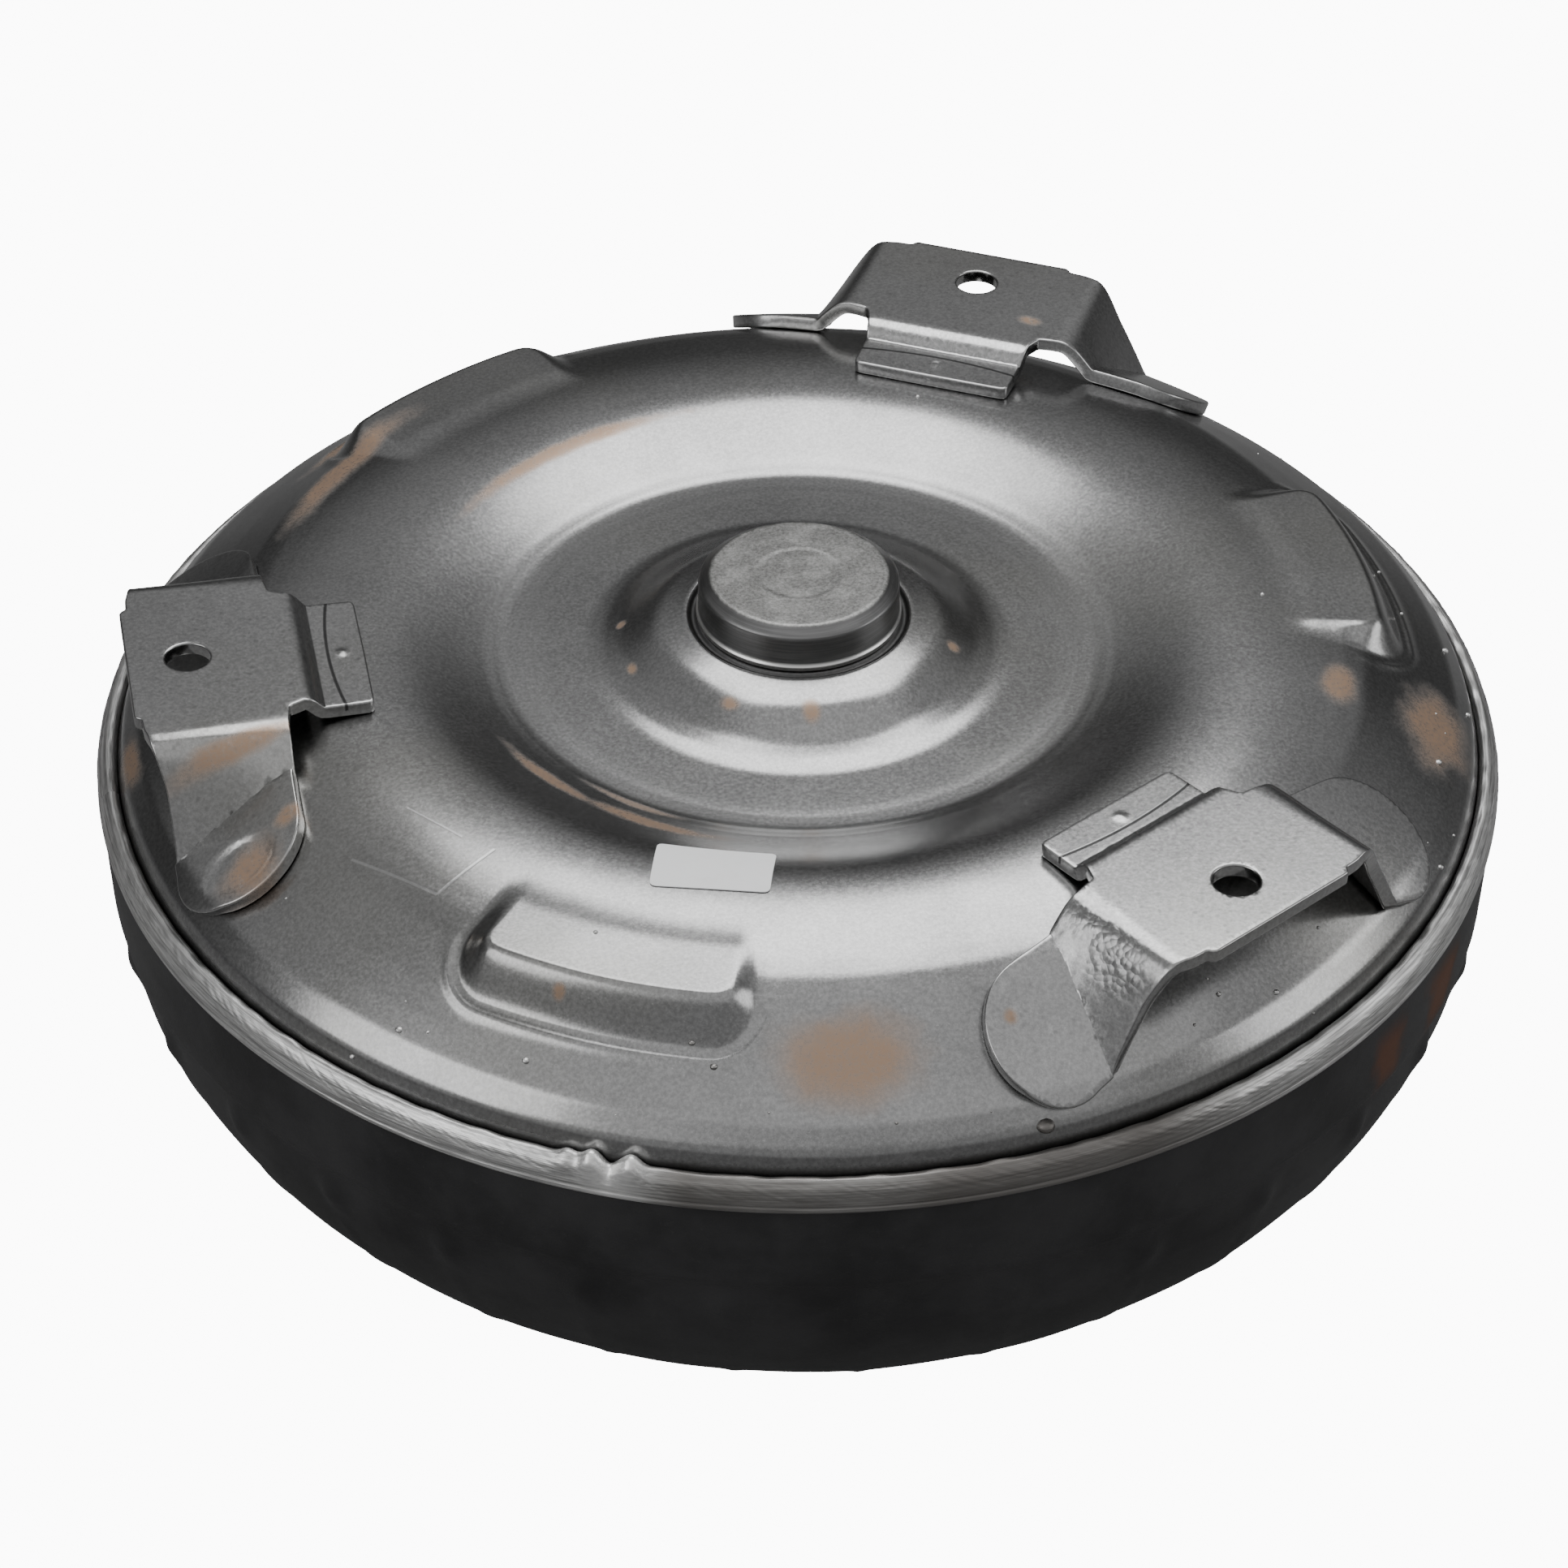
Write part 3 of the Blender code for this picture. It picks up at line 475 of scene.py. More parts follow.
def mesh_object(name, vertices, faces, material, sharp=40.0):
    mesh = bpy.data.meshes.new(name)
    mesh.from_pydata([tuple(v) for v in vertices], [], faces)
    form = bmesh.new()
    form.from_mesh(mesh)
    bmesh.ops.recalc_face_normals(form, faces=form.faces)
    form.to_mesh(mesh)
    form.free()
    mesh.shade_smooth()
    mesh.set_sharp_from_angle(angle=math.radians(sharp))
    mesh.materials.append(material)
    thing = bpy.data.objects.new(name, mesh)
    bpy.context.scene.collection.objects.link(thing)
    return thing


def revolved(name, rows, angles, material, closed=True, raised=None, sharp=40.0):
    """A turned solid from (radius, height) rows. raised gives each grid point's own rise."""
    theta = np.radians(angles)
    radius = np.repeat(rows[:, :1], len(theta), axis=1)
    height = np.repeat(rows[:, 1:], len(theta), axis=1)
    if raised is not None:
        radius, height = raised(radius, height, np.repeat(theta[None, :], len(rows), axis=0))
    grid = np.stack([radius * np.cos(theta), radius * np.sin(theta), height + RIM_Z], axis=2) * MM
    count, around = len(rows), len(theta)
    vertices = grid.reshape(-1, 3).tolist()
    faces = []
    for i in range(count if closed else count - 1):
        a, b = i * around, ((i + 1) % count) * around
        for j in range(around):
            k = (j + 1) % around
            faces.append((a + j, a + k, b + k, b + j))
    if not closed:
        faces.append(tuple(range(around)))
        last = (count - 1) * around
        faces.append(tuple(range(last, last + around)))
    return mesh_object(name, vertices, faces, material, sharp)


def even_angles(count):
    return np.linspace(0.0, 360.0, count, endpoint=False)


def keep(thing, body, slot, *nodes):
    """Put a finished piece on its body, in place of its CAD nodes."""
    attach(thing, body)
    if nodes:
        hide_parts(*nodes)
    return thing


# ---------------------------------------------------------------- front cover

COVER_CORNERS = (              # (radius, height over the rim plane, fillet radius)
    (6.0, 32.6, 0.0), (21.9, 32.6, 0.5), (22.4, 31.9, 0.3), (23.3, 31.9, 0.3), (24.0, 33.1, 0.8),
    (31.0, 31.3, 9.0), (38.5, 26.7, 8.0), (42.5, 25.0, 6.0), (46.0, 24.3, 0.4), (64.0, 24.1, 1.2),
    (70.0, 25.9, 8.0), (78.0, 29.0, 8.0), (85.0, 31.5, 7.0), (91.0, 32.5, 8.0), (99.0, 32.3, 8.0),
    (106.0, 31.6, 8.0), (112.0, 30.5, 8.0), (117.5, 29.1, 8.0), (122.0, 27.4, 7.0), (131.6, 21.3, 8.0),
    (137.2, 17.6, 0.8), (142.6, 13.9, 6.0), (146.6, 9.4, 3.0), (147.9, 5.2, 1.0), (147.9, -7.9, 0.4),
)
COVER_INSIDE = (               # the same for its inside, with the flat ring that the clutch lining meets
    (143.6, -7.9, 0.0), (143.6, 4.0, 2.0), (133.0, 16.8, 1.5), (116.5, 16.8, 1.5), (110.0, 22.0, 3.0),
    (100.0, 28.2, 4.0), (85.0, 28.2, 4.0), (74.0, 23.3, 6.0), (64.0, 20.1, 3.0), (42.0, 20.1, 3.0),
    (32.0, 25.6, 5.0), (22.0, 28.5, 3.0), (6.0, 28.5, 0.0),
)
PAD_HALF_ANGLE = 14.2
PAD_REACH = 130.2              # radius of the raised pads' outer wall
PAD_CORNER = 9.0


def cover_line():
    """The cover's outside, with the drawn bowl from the flat ring to the outer annulus evened out."""
    line = rounded(COVER_CORNERS)
    line = resampled(line, 0.5)
    kernel = np.exp(-0.5 * (np.arange(-16, 17) / 6.0) ** 2)
    even = np.convolve(np.pad(line[:, 1], 16, "edge"), kernel / kernel.sum(), "valid")
    share = smoothstep(line[:, 0], 65.5, 71.0) * (1.0 - smoothstep(line[:, 0], 108.0, 118.0))
    line[:, 1] += (even - line[:, 1]) * share
    return line


def cover_height(radius):
    """Height of the cover over the rim plane at a radius, between the raised pads."""
    line = cover_line()
    line = line[: int(np.argmax(line[:, 0] >= 147.8))]
    return np.interp(radius, line[:, 0], line[:, 1])


def pad_distance(radius, theta):
    """How far a point lies outside the nearest raised pad, in millimetres; negative inside."""
    nearest = np.full(radius.shape, 1e9)
    for middle in PAD_ANGLES:
        away = (np.degrees(theta) - middle + 180.0) % 360.0 - 180.0
        along = np.abs(np.radians(away)) * 128.0 - math.radians(PAD_HALF_ANGLE) * 128.0 + PAD_CORNER
        across = radius - PAD_REACH + PAD_CORNER
        corner = np.hypot(np.maximum(along, 0.0), np.maximum(across, 0.0))
        edge = corner + np.minimum(np.maximum(along, across), 0.0) - PAD_CORNER
        nearest = np.minimum(nearest, edge)
    return nearest


def pressed_cover_shape(radius, height, theta):
    """The raised pads, their base ridge, tool lines and the slight waves of pressed sheet."""
    outside = height > 2.0
    distance = pad_distance(radius, theta)
    plateau = 31.9 - 0.05 * np.maximum(radius - 106.0, 0.0)
    inside_pad = 1.0 - smoothstep(distance, -5.5, 1.6)
    lift = np.maximum(plateau - height, 0.0) * inside_pad * smoothstep(radius, 102.0, 112.0)
    ridge = 0.45 * np.exp(-((distance - 3.6) / 1.0) ** 2) * smoothstep(radius, 118.0, 126.0)
    steps = -0.10 * np.exp(-((radius - 60.5) / 0.7) ** 2) - 0.12 * np.exp(-((radius - 68.0) / 0.8) ** 2)
    waves = 0.05 * wobble(theta, 3, 2, 7) * np.sin(radius / 11.0) * smoothstep(radius, 40.0, 60.0)
    lap = 0.05 * wobble(theta, 4, 9, 24) * smoothstep(radius, 100.0, 120.0)
    return radius, height + np.where(outside, lift + ridge + steps + waves + lap, 0.0)


def front_cover():
    def spacing(radius, height):
        near_wall = 123.0 < radius < 134.5 or radius < 26.0
        return 0.32 if near_wall else (0.7 if radius > 134.0 else 1.15)

    outside = resampled(cover_line(), spacing)
    inside = resampled(rounded(COVER_INSIDE), 3.0)
    angles = list(even_angles(480))
    for middle in PAD_ANGLES:
        for side in (-1.0, 1.0):
            angles += [middle + side * a for a in np.arange(11.0, 15.6, 0.2)]
    angles = np.unique(np.round(np.mod(angles, 360.0), 3))

    def pressed(radius, height, theta):
        raised = pressed_cover_shape(radius, height, theta)[1]
        raised[len(outside):] = height[len(outside):]
        return radius, raised

    rows = np.vstack([outside, inside])
    skin = revolved("pressed_front_cover", rows, angles, cover_finish(), raised=pressed)
    keep(skin, "housing", "front_cover", "front_cover")


def pilot():
    top, radius = PILOT_TOP, PILOT_RADIUS
    corners = (
        (0.2, top - 0.12, 0.0), (9.0, top - 0.12, 0.2), (9.3, top, 0.2), (19.0, top, 0.5),
        (radius, top - 1.9, 0.7), (radius, 34.5, 0.4), (radius + 0.5, 34.1, 0.3),
        (radius + 0.5, 33.0, 0.3), (0.2, 33.0, 0.0),
    )
    rows = resampled(rounded(corners, 0.2), 0.45)
    nose = revolved("crankshaft_pilot", rows, even_angles(160), pilot_finish(), closed=False)
    keep(nose, "housing", "pilot", "pilot")


# ---------------------------------------------------------------- closure weld

def weld_bead_shape(radius, height, theta):
    """An uneven bead with its start and stop lump, and a thin second line under it."""
    away = (np.degrees(theta) - WELD_START + 180.0) % 360.0 - 180.0
    lump = np.exp(-((away - 1.6) / 0.9) ** 2) + 0.9 * np.exp(-((away + 1.5) / 0.8) ** 2)
    lump += 0.4 * np.exp(-((away + 3.4) / 0.7) ** 2) - 0.4 * np.exp(-((away + 0.1) / 0.5) ** 2)
    crest = np.clip((radius - 149.0) / 3.0, 0.0, 1.0) * smoothstep(height, -0.5, 2.5)
    uneven = 0.06 * wobble(theta, 11, 40, 150) + 0.05 * wobble(theta + 0.02 * height, 12, 200, 420, 14)
    uneven += 0.12 * wobble(theta, 13, 5, 16)
    inner_edge = smoothstep(150.4 - radius, 0.0, 1.2) * smoothstep(height, 3.0, 4.5)
    out = radius + crest * (uneven * 0.55 - 0.3) + 0.3 * crest * lump
    up = height + crest * uneven * 0.5 + 2.5 * lump * smoothstep(height, 1.0, 4.0)
    up += inner_edge * 0.12 * wobble(theta, 14, 60, 160)
    return np.minimum(out, WELD_RADIUS), up


def closure_weld():
    corners = (
        (148.15, 0.2, 0.0), (148.2, 4.6, 0.3), (148.9, 5.6, 0.8), (150.4, 6.0, 1.6), (152.2, 4.4, 1.8),
        (152.95, 2.2, 1.2), (152.75, 0.9, 0.3), (152.45, 0.55, 0.2), (152.8, 0.1, 0.3),
        (152.6, -0.9, 0.3), (151.9, -1.1, 0.2),
    )
    rows = resampled(rounded(corners, 0.15), 0.28)
    bead = revolved("closure_weld_bead", rows, even_angles(1440), weld_finish(),
                    raised=weld_bead_shape, sharp=70.0)
    keep(bead, "housing", "closure_weld", "closure_weld")


# ---------------------------------------------------------------- impeller shell and hub

DOME_CENTRE = 98.5             # radius of the dome's lowest ring
DOME_DEPTH = 80.0              # of that ring under the rim plane
SIDE_FOOT = 11.0               # depth of the centre of the dome's outer curve
HUB_EDGE = 51.25               # and of its inner curve
CREASE = -21.5                 # where the straight side ends
TAB_DEPTH = -30.5              # of the row of blade-tab dimples


def shell_line():
    side = [(SHELL_RADIUS - 0.35, -0.4), (SHELL_RADIUS - 0.1, -11.0), (SHELL_RADIUS - 0.5, CREASE),
            (SHELL_RADIUS - 1.1, CREASE - 0.8)]
    dome = []
    for a in np.linspace(20.5, 90.0, 30):
        t = math.radians(a)
        radius = DOME_CENTRE + (SHELL_RADIUS - DOME_CENTRE) * math.cos(t)
        dome.append((radius, -SIDE_FOOT - (DOME_DEPTH - SIDE_FOOT) * math.sin(t)))
    inner = []
    for a in np.linspace(90.0, 158.0, 24)[1:]:
        t = math.radians(a)
        radius = DOME_CENTRE + 62.0 * math.cos(t)
        inner.append((radius, -HUB_EDGE - (DOME_DEPTH - HUB_EDGE) * math.sin(t)))
    return np.array(side + dome + inner)


def impeller_shell():
    outside = resampled(shell_line(), 1.3)
    inside = outside[::-1][::5] - sideways(outside[::-1][::5]) * -3.2
    inside[:, 1] = np.minimum(inside[:, 1], -0.4)
    tab_row = int(np.argmin(np.abs(outside[:, 1] - TAB_DEPTH) + (outside[:, 0] < 120.0) * 99.0))
    lengths = np.concatenate([[0.0], np.cumsum(np.linalg.norm(np.diff(outside, axis=0), axis=1))])
    from_tab = np.full(len(outside) + len(inside), 1e3)
    from_tab[: len(outside)] = lengths - lengths[tab_row]
    rows = np.vstack([outside, inside])
    normals = np.zeros_like(rows)
    normals[: len(outside)] = sideways(outside)
    flip = 1.0 if normals[tab_row, 0] > 0.0 else -1.0

    def dimples(radius, height, theta):
        """A raised dimple over each blade's tab, and a faint line over each blade's edge."""
        phase = (np.degrees(theta) - 241.8) * BLADES / 360.0
        away = (phase - np.round(phase)) * 2.0 * math.pi * 150.0 / BLADES
        along = from_tab[:, None]
        bump = 1.35 * np.exp(-(away / 3.0) ** 2 - (along / 4.6) ** 2)
        fade = smoothstep(along, 4.0, 14.0) * (1.0 - smoothstep(along, 60.0, 95.0))
        tail = 0.28 * np.exp(-(away / 1.8) ** 2) * fade
        dull = 0.07 * wobble(theta, 21, 6, 30) * (np.abs(along) < 500.0)
        lift = (bump + tail + dull) * flip
        return radius + normals[:, :1] * lift, height + normals[:, 1:] * lift

    skin = revolved("impeller_shell_dome", rows, even_angles(800), shell_finish(),
                    raised=dimples, sharp=30.0)
    keep(skin, "housing", "impeller_shell", "impeller_shell")


def pump_hub():
    """The slotted sleeve: a turned tube, cut across and with its edges broken."""
    low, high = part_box("pump_hub")[0][2] / MM - RIM_Z, top_of("pump_hub") - RIM_Z
    corners = (
        (HUB_RADIUS, high, 0.0), (HUB_RADIUS, low + 1.4, 0.5), (HUB_RADIUS - 1.4, low, 0.4),
        (20.5, low, 0.4), (19.5, low + 1.0, 0.4), (19.5, high, 0.0),
    )
    rows = resampled(rounded(corners, 0.2), 1.2)
    sleeve = revolved("pump_hub_sleeve", rows, even_angles(144), hub_finish(), sharp=30.0)
    slot = bpy.data.meshes.new("slot_cutter")
    form = bmesh.new()
    size = Matrix.Diagonal((10.0 * MM, 80.0 * MM, 18.0 * MM, 1.0))
    bmesh.ops.create_cube(form, size=1.0, matrix=size)
    form.to_mesh(slot)
    form.free()
    cutter = bpy.data.objects.new("slot_cutter", slot)
    bpy.context.scene.collection.objects.link(cutter)
    boolean = sleeve.modifiers.new("slots", "BOOLEAN")
    boolean.operation = "DIFFERENCE"
    boolean.object = cutter
    bpy.context.view_layer.update()
    solid = bpy.data.meshes.new_from_object(sleeve.evaluated_get(bpy.context.evaluated_depsgraph_get()))
    sleeve.modifiers.clear()
    sleeve.data = solid
    bpy.data.objects.remove(cutter)
    solid.set_sharp_from_angle(angle=math.radians(30.0))
    keep(sleeve, "housing", "machined_steel", "pump_hub")


def hub_flange():
    corners = (
        (36.0, -51.0, 0.0), (36.0, -56.5, 0.5), (39.3, -59.0, 0.8), (39.3, -68.0, 2.0), (28.0, -71.6, 2.0),
        (19.5, -71.6, 0.4), (19.5, -51.0, 0.0),
    )
    rows = resampled(rounded(corners, 0.3), 1.2)
    flange = revolved("hub_flange_forging", rows, even_angles(144), hub_finish(), sharp=30.0)
    keep(flange, "housing", "machined_steel", "hub_flange")


def hub_weld():
    def ripples(radius, height, theta):
        around = 0.18 * wobble(theta, 31, 30, 90) + 0.08 * wobble(theta, 32, 120, 240)
        return radius, height - np.where(height < -67.0, np.abs(around), 0.0)

    corners = ((39.8, -65.6, 0.0), (42.9, -68.6, 0.8), (41.6, -69.4, 0.9), (39.8, -68.6, 0.3))
    rows = resampled(rounded(corners, 0.2), 0.4)
    bead = revolved("hub_fillet_weld", rows, even_angles(360), weld_finish("hub_weld_metal"),
                    raised=ripples, sharp=70.0)
    keep(bead, "housing", "closure_weld", "hub_weld")


# ---------------------------------------------------------------- drive lugs

LUG_THICKNESS = 3.1
LUG_LIFT = LUG_PAD_TOP - 0.5 * LUG_THICKNESS     # middle of the sheet at the pad
TAB_LIFT = 32.3 + 0.5 * LUG_THICKNESS + 0.15     # and at the tab, which lies on the crest
BOLT_RADIUS = 131.0
BOLT_HOLE_RADIUS = 5.25
FOOT_CENTRE = (125.6, 45.4)
FOOT_RADIUS = 12.4
EDGE = 0.45                    # rounding of the sheared edges


def lug_outline():
    """Half of the strap's outline in (radial, sideways) millimetres, from tab to outer edge."""
    corners = [(94.3, 0.0, 0.0), (94.4, 17.9, 0.9), (104.6, 18.1, 0.6), (108.4, 18.9, 1.2),
               (112.2, 20.6, 1.0), (113.0, 26.0, 3.0), (113.2, 36.0, 3.0)]
    for a in np.linspace(175.0, -8.0, 27):
        t = math.radians(a)
        foot_x = FOOT_CENTRE[0] + FOOT_RADIUS * math.cos(t)
        foot_y = FOOT_CENTRE[1] + FOOT_RADIUS * math.sin(t)
        corners.append((foot_x, foot_y, 0.0))
    corners += [(138.0, 38.0, 1.5), (138.6, 32.0, 3.0), (140.8, 27.0, 3.0), (141.8, 23.0, 1.0),
                (142.0, 19.4, 0.4), (143.4, 18.6, 0.4), (143.4, 0.0, 0.0)]
    return resampled(rounded(corners, 0.4), 0.8)


def leg_lines(x):
    """Where the leg bends down from the pad and folds onto the cover, sideways from the middle."""
    return 27.4 + 0.0 * x, 32.8 + (x - 113.0) * 0.27


def lug_height(x, y):
    """Middle of the sheet over the rim plane at a point of the flat pattern."""
    side = np.abs(y)
    radius = np.hypot(x, side)
    on_cover = cover_height(radius) + 0.5 * LUG_THICKNESS + 0.2
    bend, fold = leg_lines(x)
    run = fold - bend
    top, foot = 1.7, 0.45                # how soft the bend and the fold are, in millimetres
    share = 0.5 * (np.hypot(side - bend, top) - np.hypot(side - fold, foot) + run) / run
    share = np.clip(share - 0.03, 0.0, 1.0)
    leg = LUG_LIFT + (on_cover - LUG_LIFT) * share
    joggle = smoothstep(x, 104.4, 108.6)
    tab = TAB_LIFT + (LUG_LIFT - TAB_LIFT) * joggle
    return np.where(side < 23.0, tab, leg)


def lug_marks(x, y, number):
    """Small forms on the sheet: a foot's oval dent, the tab's weld dot and a hammered leg."""
    rise = np.zeros_like(x)
    dot = np.hypot(x - 98.6, y)
    rise += 0.5 * np.exp(-(dot / 0.9) ** 2)
    if number == 1:
        oval = np.hypot((x - 125.6) / 7.2, (y - 50.0) / 5.6)
        rise -= 0.7 * (1.0 - smoothstep(oval, 0.8, 1.05))
    if number == 2:
        bend, fold = leg_lines(x)
        leg = smoothstep(-y, bend + 1.0, bend + 3.0) * (1.0 - smoothstep(-y, fold - 1.2, fold))
        rough = np.sin(2.3 * x + 1.7 * np.sin(1.3 * y)) * np.sin(2.6 * y + 1.9 * np.sin(1.1 * x))
        rise += 0.12 * rough * leg
    return rise


def lug_pattern(number):
    """Flat points and triangles of the strap, with its boundary loops."""
    half = lug_outline()
    outline = np.vstack([half, (half * (1.0, -1.0))[::-1][1:-1]])
    turn = np.radians(even_angles(48))
    hole = np.stack([BOLT_RADIUS + BOLT_HOLE_RADIUS * np.cos(turn), BOLT_HOLE_RADIUS * np.sin(turn)], axis=1)
    points = [Vector(p) for p in np.vstack([outline, hole])]
    count, ring = len(outline), len(hole)
    edges = [(i, (i + 1) % count) for i in range(count)]
    edges += [(count + i, count + (i + 1) % ring) for i in range(ring)]
    chance = random.Random(50 + number)
    step = 0.9
    for i, x in enumerate(np.arange(93.0, 146.0, step)):
        for y in np.arange(-59.0 + 0.5 * step * (i % 2), 59.0, step):
            points.append(Vector((x + chance.uniform(-0.1, 0.1), y + chance.uniform(-0.1, 0.1))))
    flat, _, faces, origin, _, _ = delaunay_2d_cdt(points, edges, [], 1, 0.001)
    flat = np.array([tuple(p) for p in flat])
    order = {}
    for new, old in enumerate(origin):
        for index in old:
            order[index] = new
    loops = [[order[i] for i in range(count)], [order[count + i] for i in range(ring)]]
    return flat, faces, loops


def drive_lug(number, angle):
    flat, faces, loops = lug_pattern(number)
    centres = np.array([flat[list(face)].mean(axis=0) for face in faces])
    in_hole = np.hypot(centres[:, 0] - BOLT_RADIUS, centres[:, 1]) < BOLT_HOLE_RADIUS - 0.05
    faces = [face for face, hole in zip(faces, in_hole) if not hole]
    used = sorted({v for face in faces for v in face})
    new = {old: i for i, old in enumerate(used)}
    flat = flat[used]
    faces = [tuple(new[v] for v in face) for face in faces]
    loops = [[new[v] for v in loop] for loop in loops]
    x, y = flat[:, 0], flat[:, 1]
    middle = np.stack([x, y, lug_height(x, y)], axis=1)
    small = 0.05
    slope_x = (lug_height(x + small, y) - lug_height(x - small, y)) / (2.0 * small)
    slope_y = (lug_height(x, y + small) - lug_height(x, y - small)) / (2.0 * small)
    normal = np.stack([-slope_x, -slope_y, np.ones_like(x)], axis=1)
    normal /= np.linalg.norm(normal, axis=1, keepdims=True)
    upper = middle + normal * (0.5 * LUG_THICKNESS) + [0.0, 0.0, 1.0] * lug_marks(x, y, number)[:, None]
    lower = middle - normal * (0.5 * LUG_THICKNESS)
    count = len(flat)
    vertices = [*upper, *lower]
    solid = list(faces) + [tuple(count + v for v in face[::-1]) for face in faces]
    for loop in loops:
        points, ups = middle[loop], normal[loop]
        run = np.roll(points, -1, axis=0) - np.roll(points, 1, axis=0)
        out = np.cross(run, ups)
        out /= np.linalg.norm(out, axis=1, keepdims=True)
        inner = loop is loops[1]
        centre = points.mean(axis=0)
        if inner and float(((points - centre) * out).sum()) > 0.0:
            out = -out
        if not inner and float(((points - centre) * out).sum()) < 0.0:
            out = -out
        rings = [[v for v in loop]]
        for turn in (30.0, 60.0, 90.0, 270.0, 300.0, 330.0):
            t = math.radians(turn)
            side = 1.0 if turn <= 90.0 else -1.0
            rise = side * (0.5 * LUG_THICKNESS - EDGE * (1.0 - abs(math.cos(t))))
            ring = points + out * (EDGE * abs(math.sin(t))) + ups * rise
            start = len(vertices)
            vertices.extend(ring)
            rings.append(list(range(start, start + len(loop))))
        rings.append([count + v for v in loop])
        for a, b in zip(rings, rings[1:]):
            for i in range(len(loop)):
                j = (i + 1) % len(loop)
                solid.append((a[i], a[j], b[j], b[i]))
    cosine, sine = math.cos(math.radians(angle)), math.sin(math.radians(angle))
    turned = [((v[0] * cosine - v[1] * sine) * MM, (v[0] * sine + v[1] * cosine) * MM, (v[2] + RIM_Z) * MM)
              for v in vertices]
    strap = mesh_object(f"drive_lug_strap_{number}", turned, solid, lug_finish(number), 50.0)
    keep(strap, "housing", "drive_lug", f"drive_lug_{number}")


# ---------------------------------------------------------------- small things on the cover

SPATTER = (                    # angle, radius and size of the larger drops of weld spatter
    (236.0, 138.6, 0.8), (249.5, 130.7, 0.7), (251.6, 134.2, 0.8), (224.6, 141.1, 0.8), (221.6, 147.0, 0.6),
    (353.8, 142.8, 0.9), (346.1, 145.5, 0.7), (336.0, 139.3, 0.8), (325.1, 146.0, 0.7), (296.3, 136.8, 0.6),
    (301.2, 141.3, 0.7), (277.9, 146.4, 1.9), (60.9, 89.6, 0.5), (353.3, 100.8, 0.5), (238.0, 113.7, 0.5),
)


def weld_spatter():
    """Drops of weld metal, each a flattened ball sunk a little into the cover."""
    form = bmesh.new()
    chance = random.Random(77)
    drops = list(SPATTER)
    for _ in range(46):
        drops.append((chance.uniform(0.0, 360.0), chance.uniform(132.0, 147.0), chance.uniform(0.18, 0.42)))
    for angle, radius, size in drops:
        t = math.radians(angle)
        at = [np.array([[value]]) for value in (radius, float(cover_height(radius)), t)]
        height = float(pressed_cover_shape(*at)[1][0, 0])
        spot = Vector((radius * math.cos(t), radius * math.sin(t), RIM_Z + height)) * MM
        matrix = Matrix.Translation(spot) @ Matrix.Diagonal((size * MM, size * MM, 0.7 * size * MM, 1.0))
        bmesh.ops.create_icosphere(form, subdivisions=2, radius=1.0, matrix=matrix)
    mesh = bpy.data.meshes.new("weld_spatter")
    form.to_mesh(mesh)
    form.free()
    mesh.shade_smooth()
    mesh.materials.append(weld_finish("spatter_metal"))
    drops_object = bpy.data.objects.new("weld_spatter", mesh)
    bpy.context.scene.collection.objects.link(drops_object)
    keep(drops_object, "housing", "closure_weld")


LABEL_CENTRE = (88.0, 247.4)   # radius and angle
LABEL_SIZE = (24.2, 15.6)
LABEL_TURN = -16.4             # from the part's +X


def paper_label():
    """A blank label with round corners, laid on the cover's crest."""
    radius, angle = LABEL_CENTRE
    cx, cy = radius * math.cos(math.radians(angle)), radius * math.sin(math.radians(angle))
    cosine, sine = math.cos(math.radians(LABEL_TURN)), math.sin(math.radians(LABEL_TURN))
    across, up = 36, 24
    vertices = []
    for layer in (0.30, 0.10):
        for j in range(up + 1):
            for i in range(across + 1):
                u, v = (2.0 * i / across - 1.0), (2.0 * j / up - 1.0)
                half = np.array(LABEL_SIZE) / 2.0
                corner = 1.3
                px, py = u * half[0], v * half[1]
                qx, qy = abs(px) - half[0] + corner, abs(py) - half[1] + corner
                if qx > 0.0 and qy > 0.0 and math.hypot(qx, qy) > corner:
                    shrink = corner / math.hypot(qx, qy)
                    px = math.copysign(half[0] - corner + qx * shrink, px)
                    py = math.copysign(half[1] - corner + qy * shrink, py)
                x, y = cx + px * cosine - py * sine, cy + px * sine + py * cosine
                height = float(cover_height(math.hypot(x, y)))
                vertices.append((x * MM, y * MM, (RIM_Z + height + layer) * MM))
    row = across + 1
    block = row * (up + 1)
    faces = []
    for j in range(up):
        for i in range(across):
            a = j * row + i
            faces.append((a, a + 1, a + 1 + row, a + row))
            faces.append((block + a, block + a + row, block + a + 1 + row, block + a + 1))
    border = [i for i in range(row)] + [j * row + across for j in range(1, up + 1)]
    border += [up * row + i for i in range(across - 1, -1, -1)] + [j * row for j in range(up - 1, 0, -1)]
    for a, b in zip(border, border[1:] + border[:1]):
        faces.append((a, block + a, block + b, b))
    label = mesh_object("paper_label", vertices, faces, label_finish(), 60.0)
    keep(label, "housing", "front_cover")


# ---------------------------------------------------------------- inner pieces

def inner_pieces():
    """The pieces inside keep their CAD shapes and take a finish of their own."""
    record = frame["record"]
    slots = {part["node"]: part["material_slot"] for part in record["subparts"]}
    finishes = {}
    for name, node in frame["nodes"].items():
        slot = slots[name]
        if slot not in INNER_FINISHES:
            continue
        if slot not in finishes:
            finishes[slot] = inner_finish("inner_" + slot, *INNER_FINISHES[slot])
        node.data.materials.clear()
        node.data.materials.append(finishes[slot])


# ---------------------------------------------------------------- studio

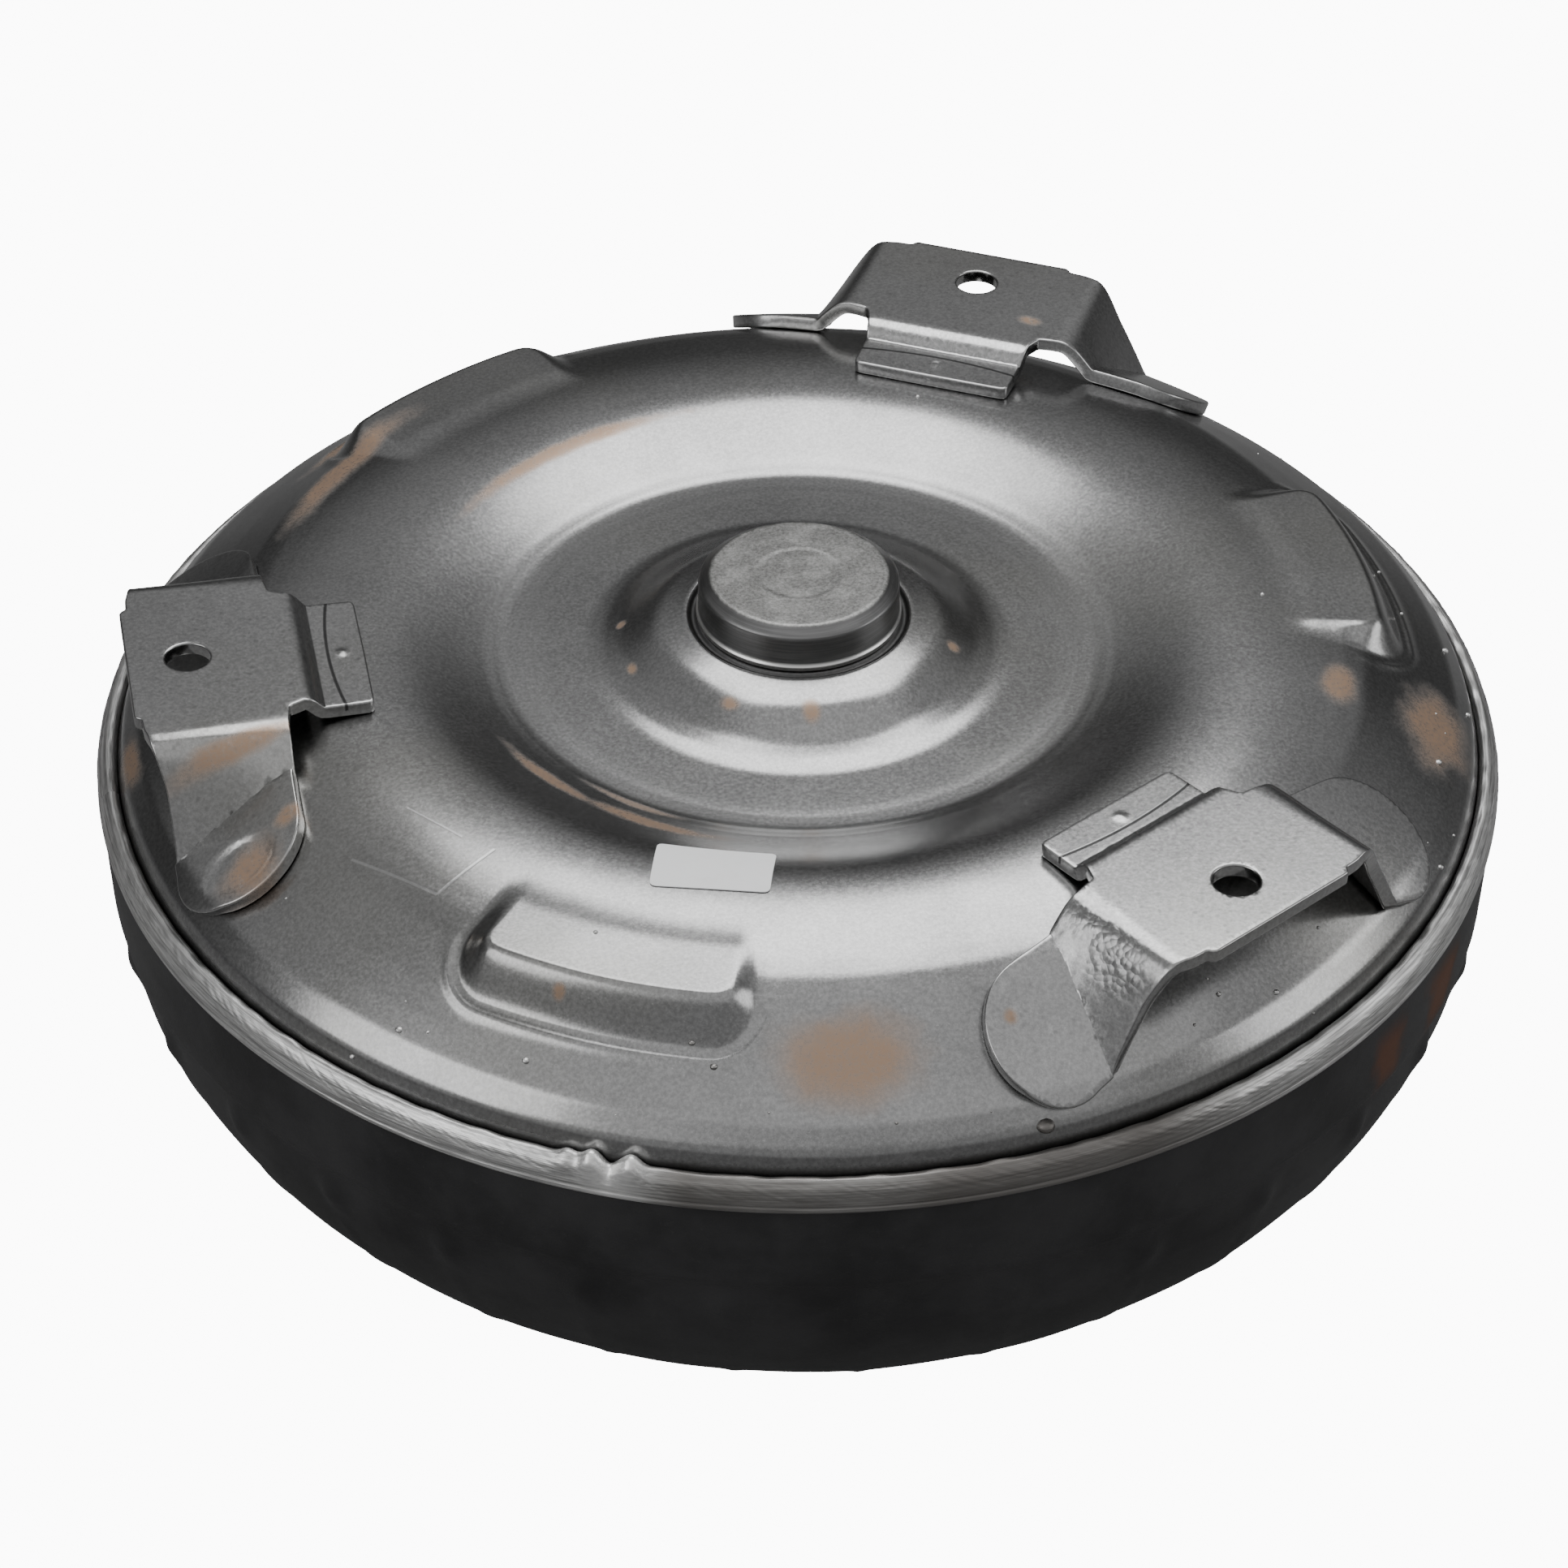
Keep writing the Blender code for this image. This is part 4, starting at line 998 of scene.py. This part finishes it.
CAMERA_TURN = -11.4            # the camera stands this far round from the part's -Y
CAMERA_RISE = 38.04
CAMERA_DISTANCE = 1003.9
CAMERA_LENS = 106.46
CAMERA_ROLL = 0.3
AIM = (-2.98, -18.42)          # where it looks on the rim plane, before that turn


def floor():
    mesh = bpy.data.meshes.new("studio_floor")
    form = bmesh.new()
    bmesh.ops.create_grid(form, x_segments=1, y_segments=1, size=30.0)
    form.to_mesh(mesh)
    form.free()
    finish = Finish("studio_floor", Roughness=0.9)
    tree = finish.tree
    ray = finish.node("ShaderNodeLightPath", output="Is Camera Ray")
    glow = finish.node("ShaderNodeEmission", {}, {"Color": (1.0, 1.0, 1.0, 1.0), "Strength": 11.0})
    finish.feed(finish.shader.inputs["Base Color"], (0.30, 0.30, 0.30, 1.0))
    own = Value(finish, finish.shader.outputs[0])
    both = finish.node("ShaderNodeMixShader", {}, {0: ray, 1: own, 2: glow})
    below = finish.node("ShaderNodeNewGeometry", output="Backfacing")
    clear = finish.node("ShaderNodeBsdfTransparent")
    one_sided = finish.node("ShaderNodeMixShader", {}, {0: below, 1: both, 2: clear})
    tree.links.new(one_sided.socket, tree.nodes["Material Output"].inputs["Surface"])
    mesh.materials.append(finish.material)
    plane = bpy.data.objects.new("studio_floor", mesh)
    bpy.context.scene.collection.objects.link(plane)


def softbox(name, place, aim, size, radiance):
    light = bpy.data.lights.new(name, "AREA")
    light.shape = "RECTANGLE"
    light.size, light.size_y = size
    light.energy = math.pi * size[0] * size[1] * radiance
    lamp = bpy.data.objects.new(name, light)
    lamp.location = place
    lamp.rotation_euler = (Vector(aim) - Vector(place)).to_track_quat("-Z", "Y").to_euler()
    bpy.context.scene.collection.objects.link(lamp)


def turned_place(x, y, z):
    """A place given as the camera sees it: x to its right, y away from it, in metres."""
    t = math.radians(CAMERA_TURN)
    return (x * math.cos(t) - y * math.sin(t), x * math.sin(t) + y * math.cos(t), z)


def sky():
    """Dim surroundings: dark at the horizon behind the part, lighter above and towards the camera."""
    world = bpy.data.worlds.new("studio")
    bpy.context.scene.world = world
    world.use_nodes = True
    nodes = Nodes(world.node_tree)
    way = nodes.node("ShaderNodeTexCoord", output="Generated")
    up = nodes.node("ShaderNodeSeparateXYZ", sockets={0: way}, output=2)
    away = nodes.node("ShaderNodeSeparateXYZ", sockets={0: way}, output=1)
    behind = away.ramp(-0.3, 0.6)
    strength = 0.37 - behind * (1.0 - up.ramp(0.25, 0.62)) * 0.30
    nodes.feed(world.node_tree.nodes["Background"].inputs["Strength"], strength)
    nodes.feed(world.node_tree.nodes["Background"].inputs["Color"], (1.0, 1.0, 1.0, 1.0))


def lights():
    """A near softbox over the far half of the part, and weaker ones in front and at the sides."""
    over = RIM_Z * MM + 0.38
    softbox("main_softbox", turned_place(0.03, 0.14, over), turned_place(0.03, 0.14, 0.0), (0.36, 0.27), 4.1)
    softbox("front_softbox", turned_place(0.0, -0.32, over), turned_place(0.0, -0.32, 0.0), (0.9, 0.5), 0.4)
    aim = (0.0, 0.0, RIM_Z * MM)
    softbox("left_softbox", turned_place(-1.0, -0.6, 0.85), aim, (0.9, 0.6), 2.2)
    softbox("right_softbox", turned_place(1.1, -0.05, 0.6), aim, (0.7, 0.4), 2.2)


def camera():
    data = bpy.data.cameras.new("camera")
    data.sensor_width = 36.0
    data.lens = CAMERA_LENS
    data.clip_end = 100.0
    eye = bpy.data.objects.new("camera", data)
    rise = math.radians(CAMERA_RISE)
    distance = CAMERA_DISTANCE * MM
    aim = Vector(turned_place(AIM[0] * MM, AIM[1] * MM, RIM_Z * MM))
    back = Vector(turned_place(0.0, -math.cos(rise), math.sin(rise)))
    eye.location = aim + back * distance
    eye.rotation_euler = (back.to_track_quat("Z", "Y") @ Matrix.Rotation(
        math.radians(CAMERA_ROLL), 3, "Z").to_quaternion()).to_euler()
    bpy.context.scene.collection.objects.link(eye)
    bpy.context.scene.camera = eye


front_cover()
pilot()
closure_weld()
impeller_shell()
pump_hub()
hub_flange()
hub_weld()
for lug_number, lug_angle in enumerate(LUG_ANGLES, start=1):
    drive_lug(lug_number, lug_angle)
weld_spatter()
paper_label()
inner_pieces()
floor()
sky()
lights()
camera()
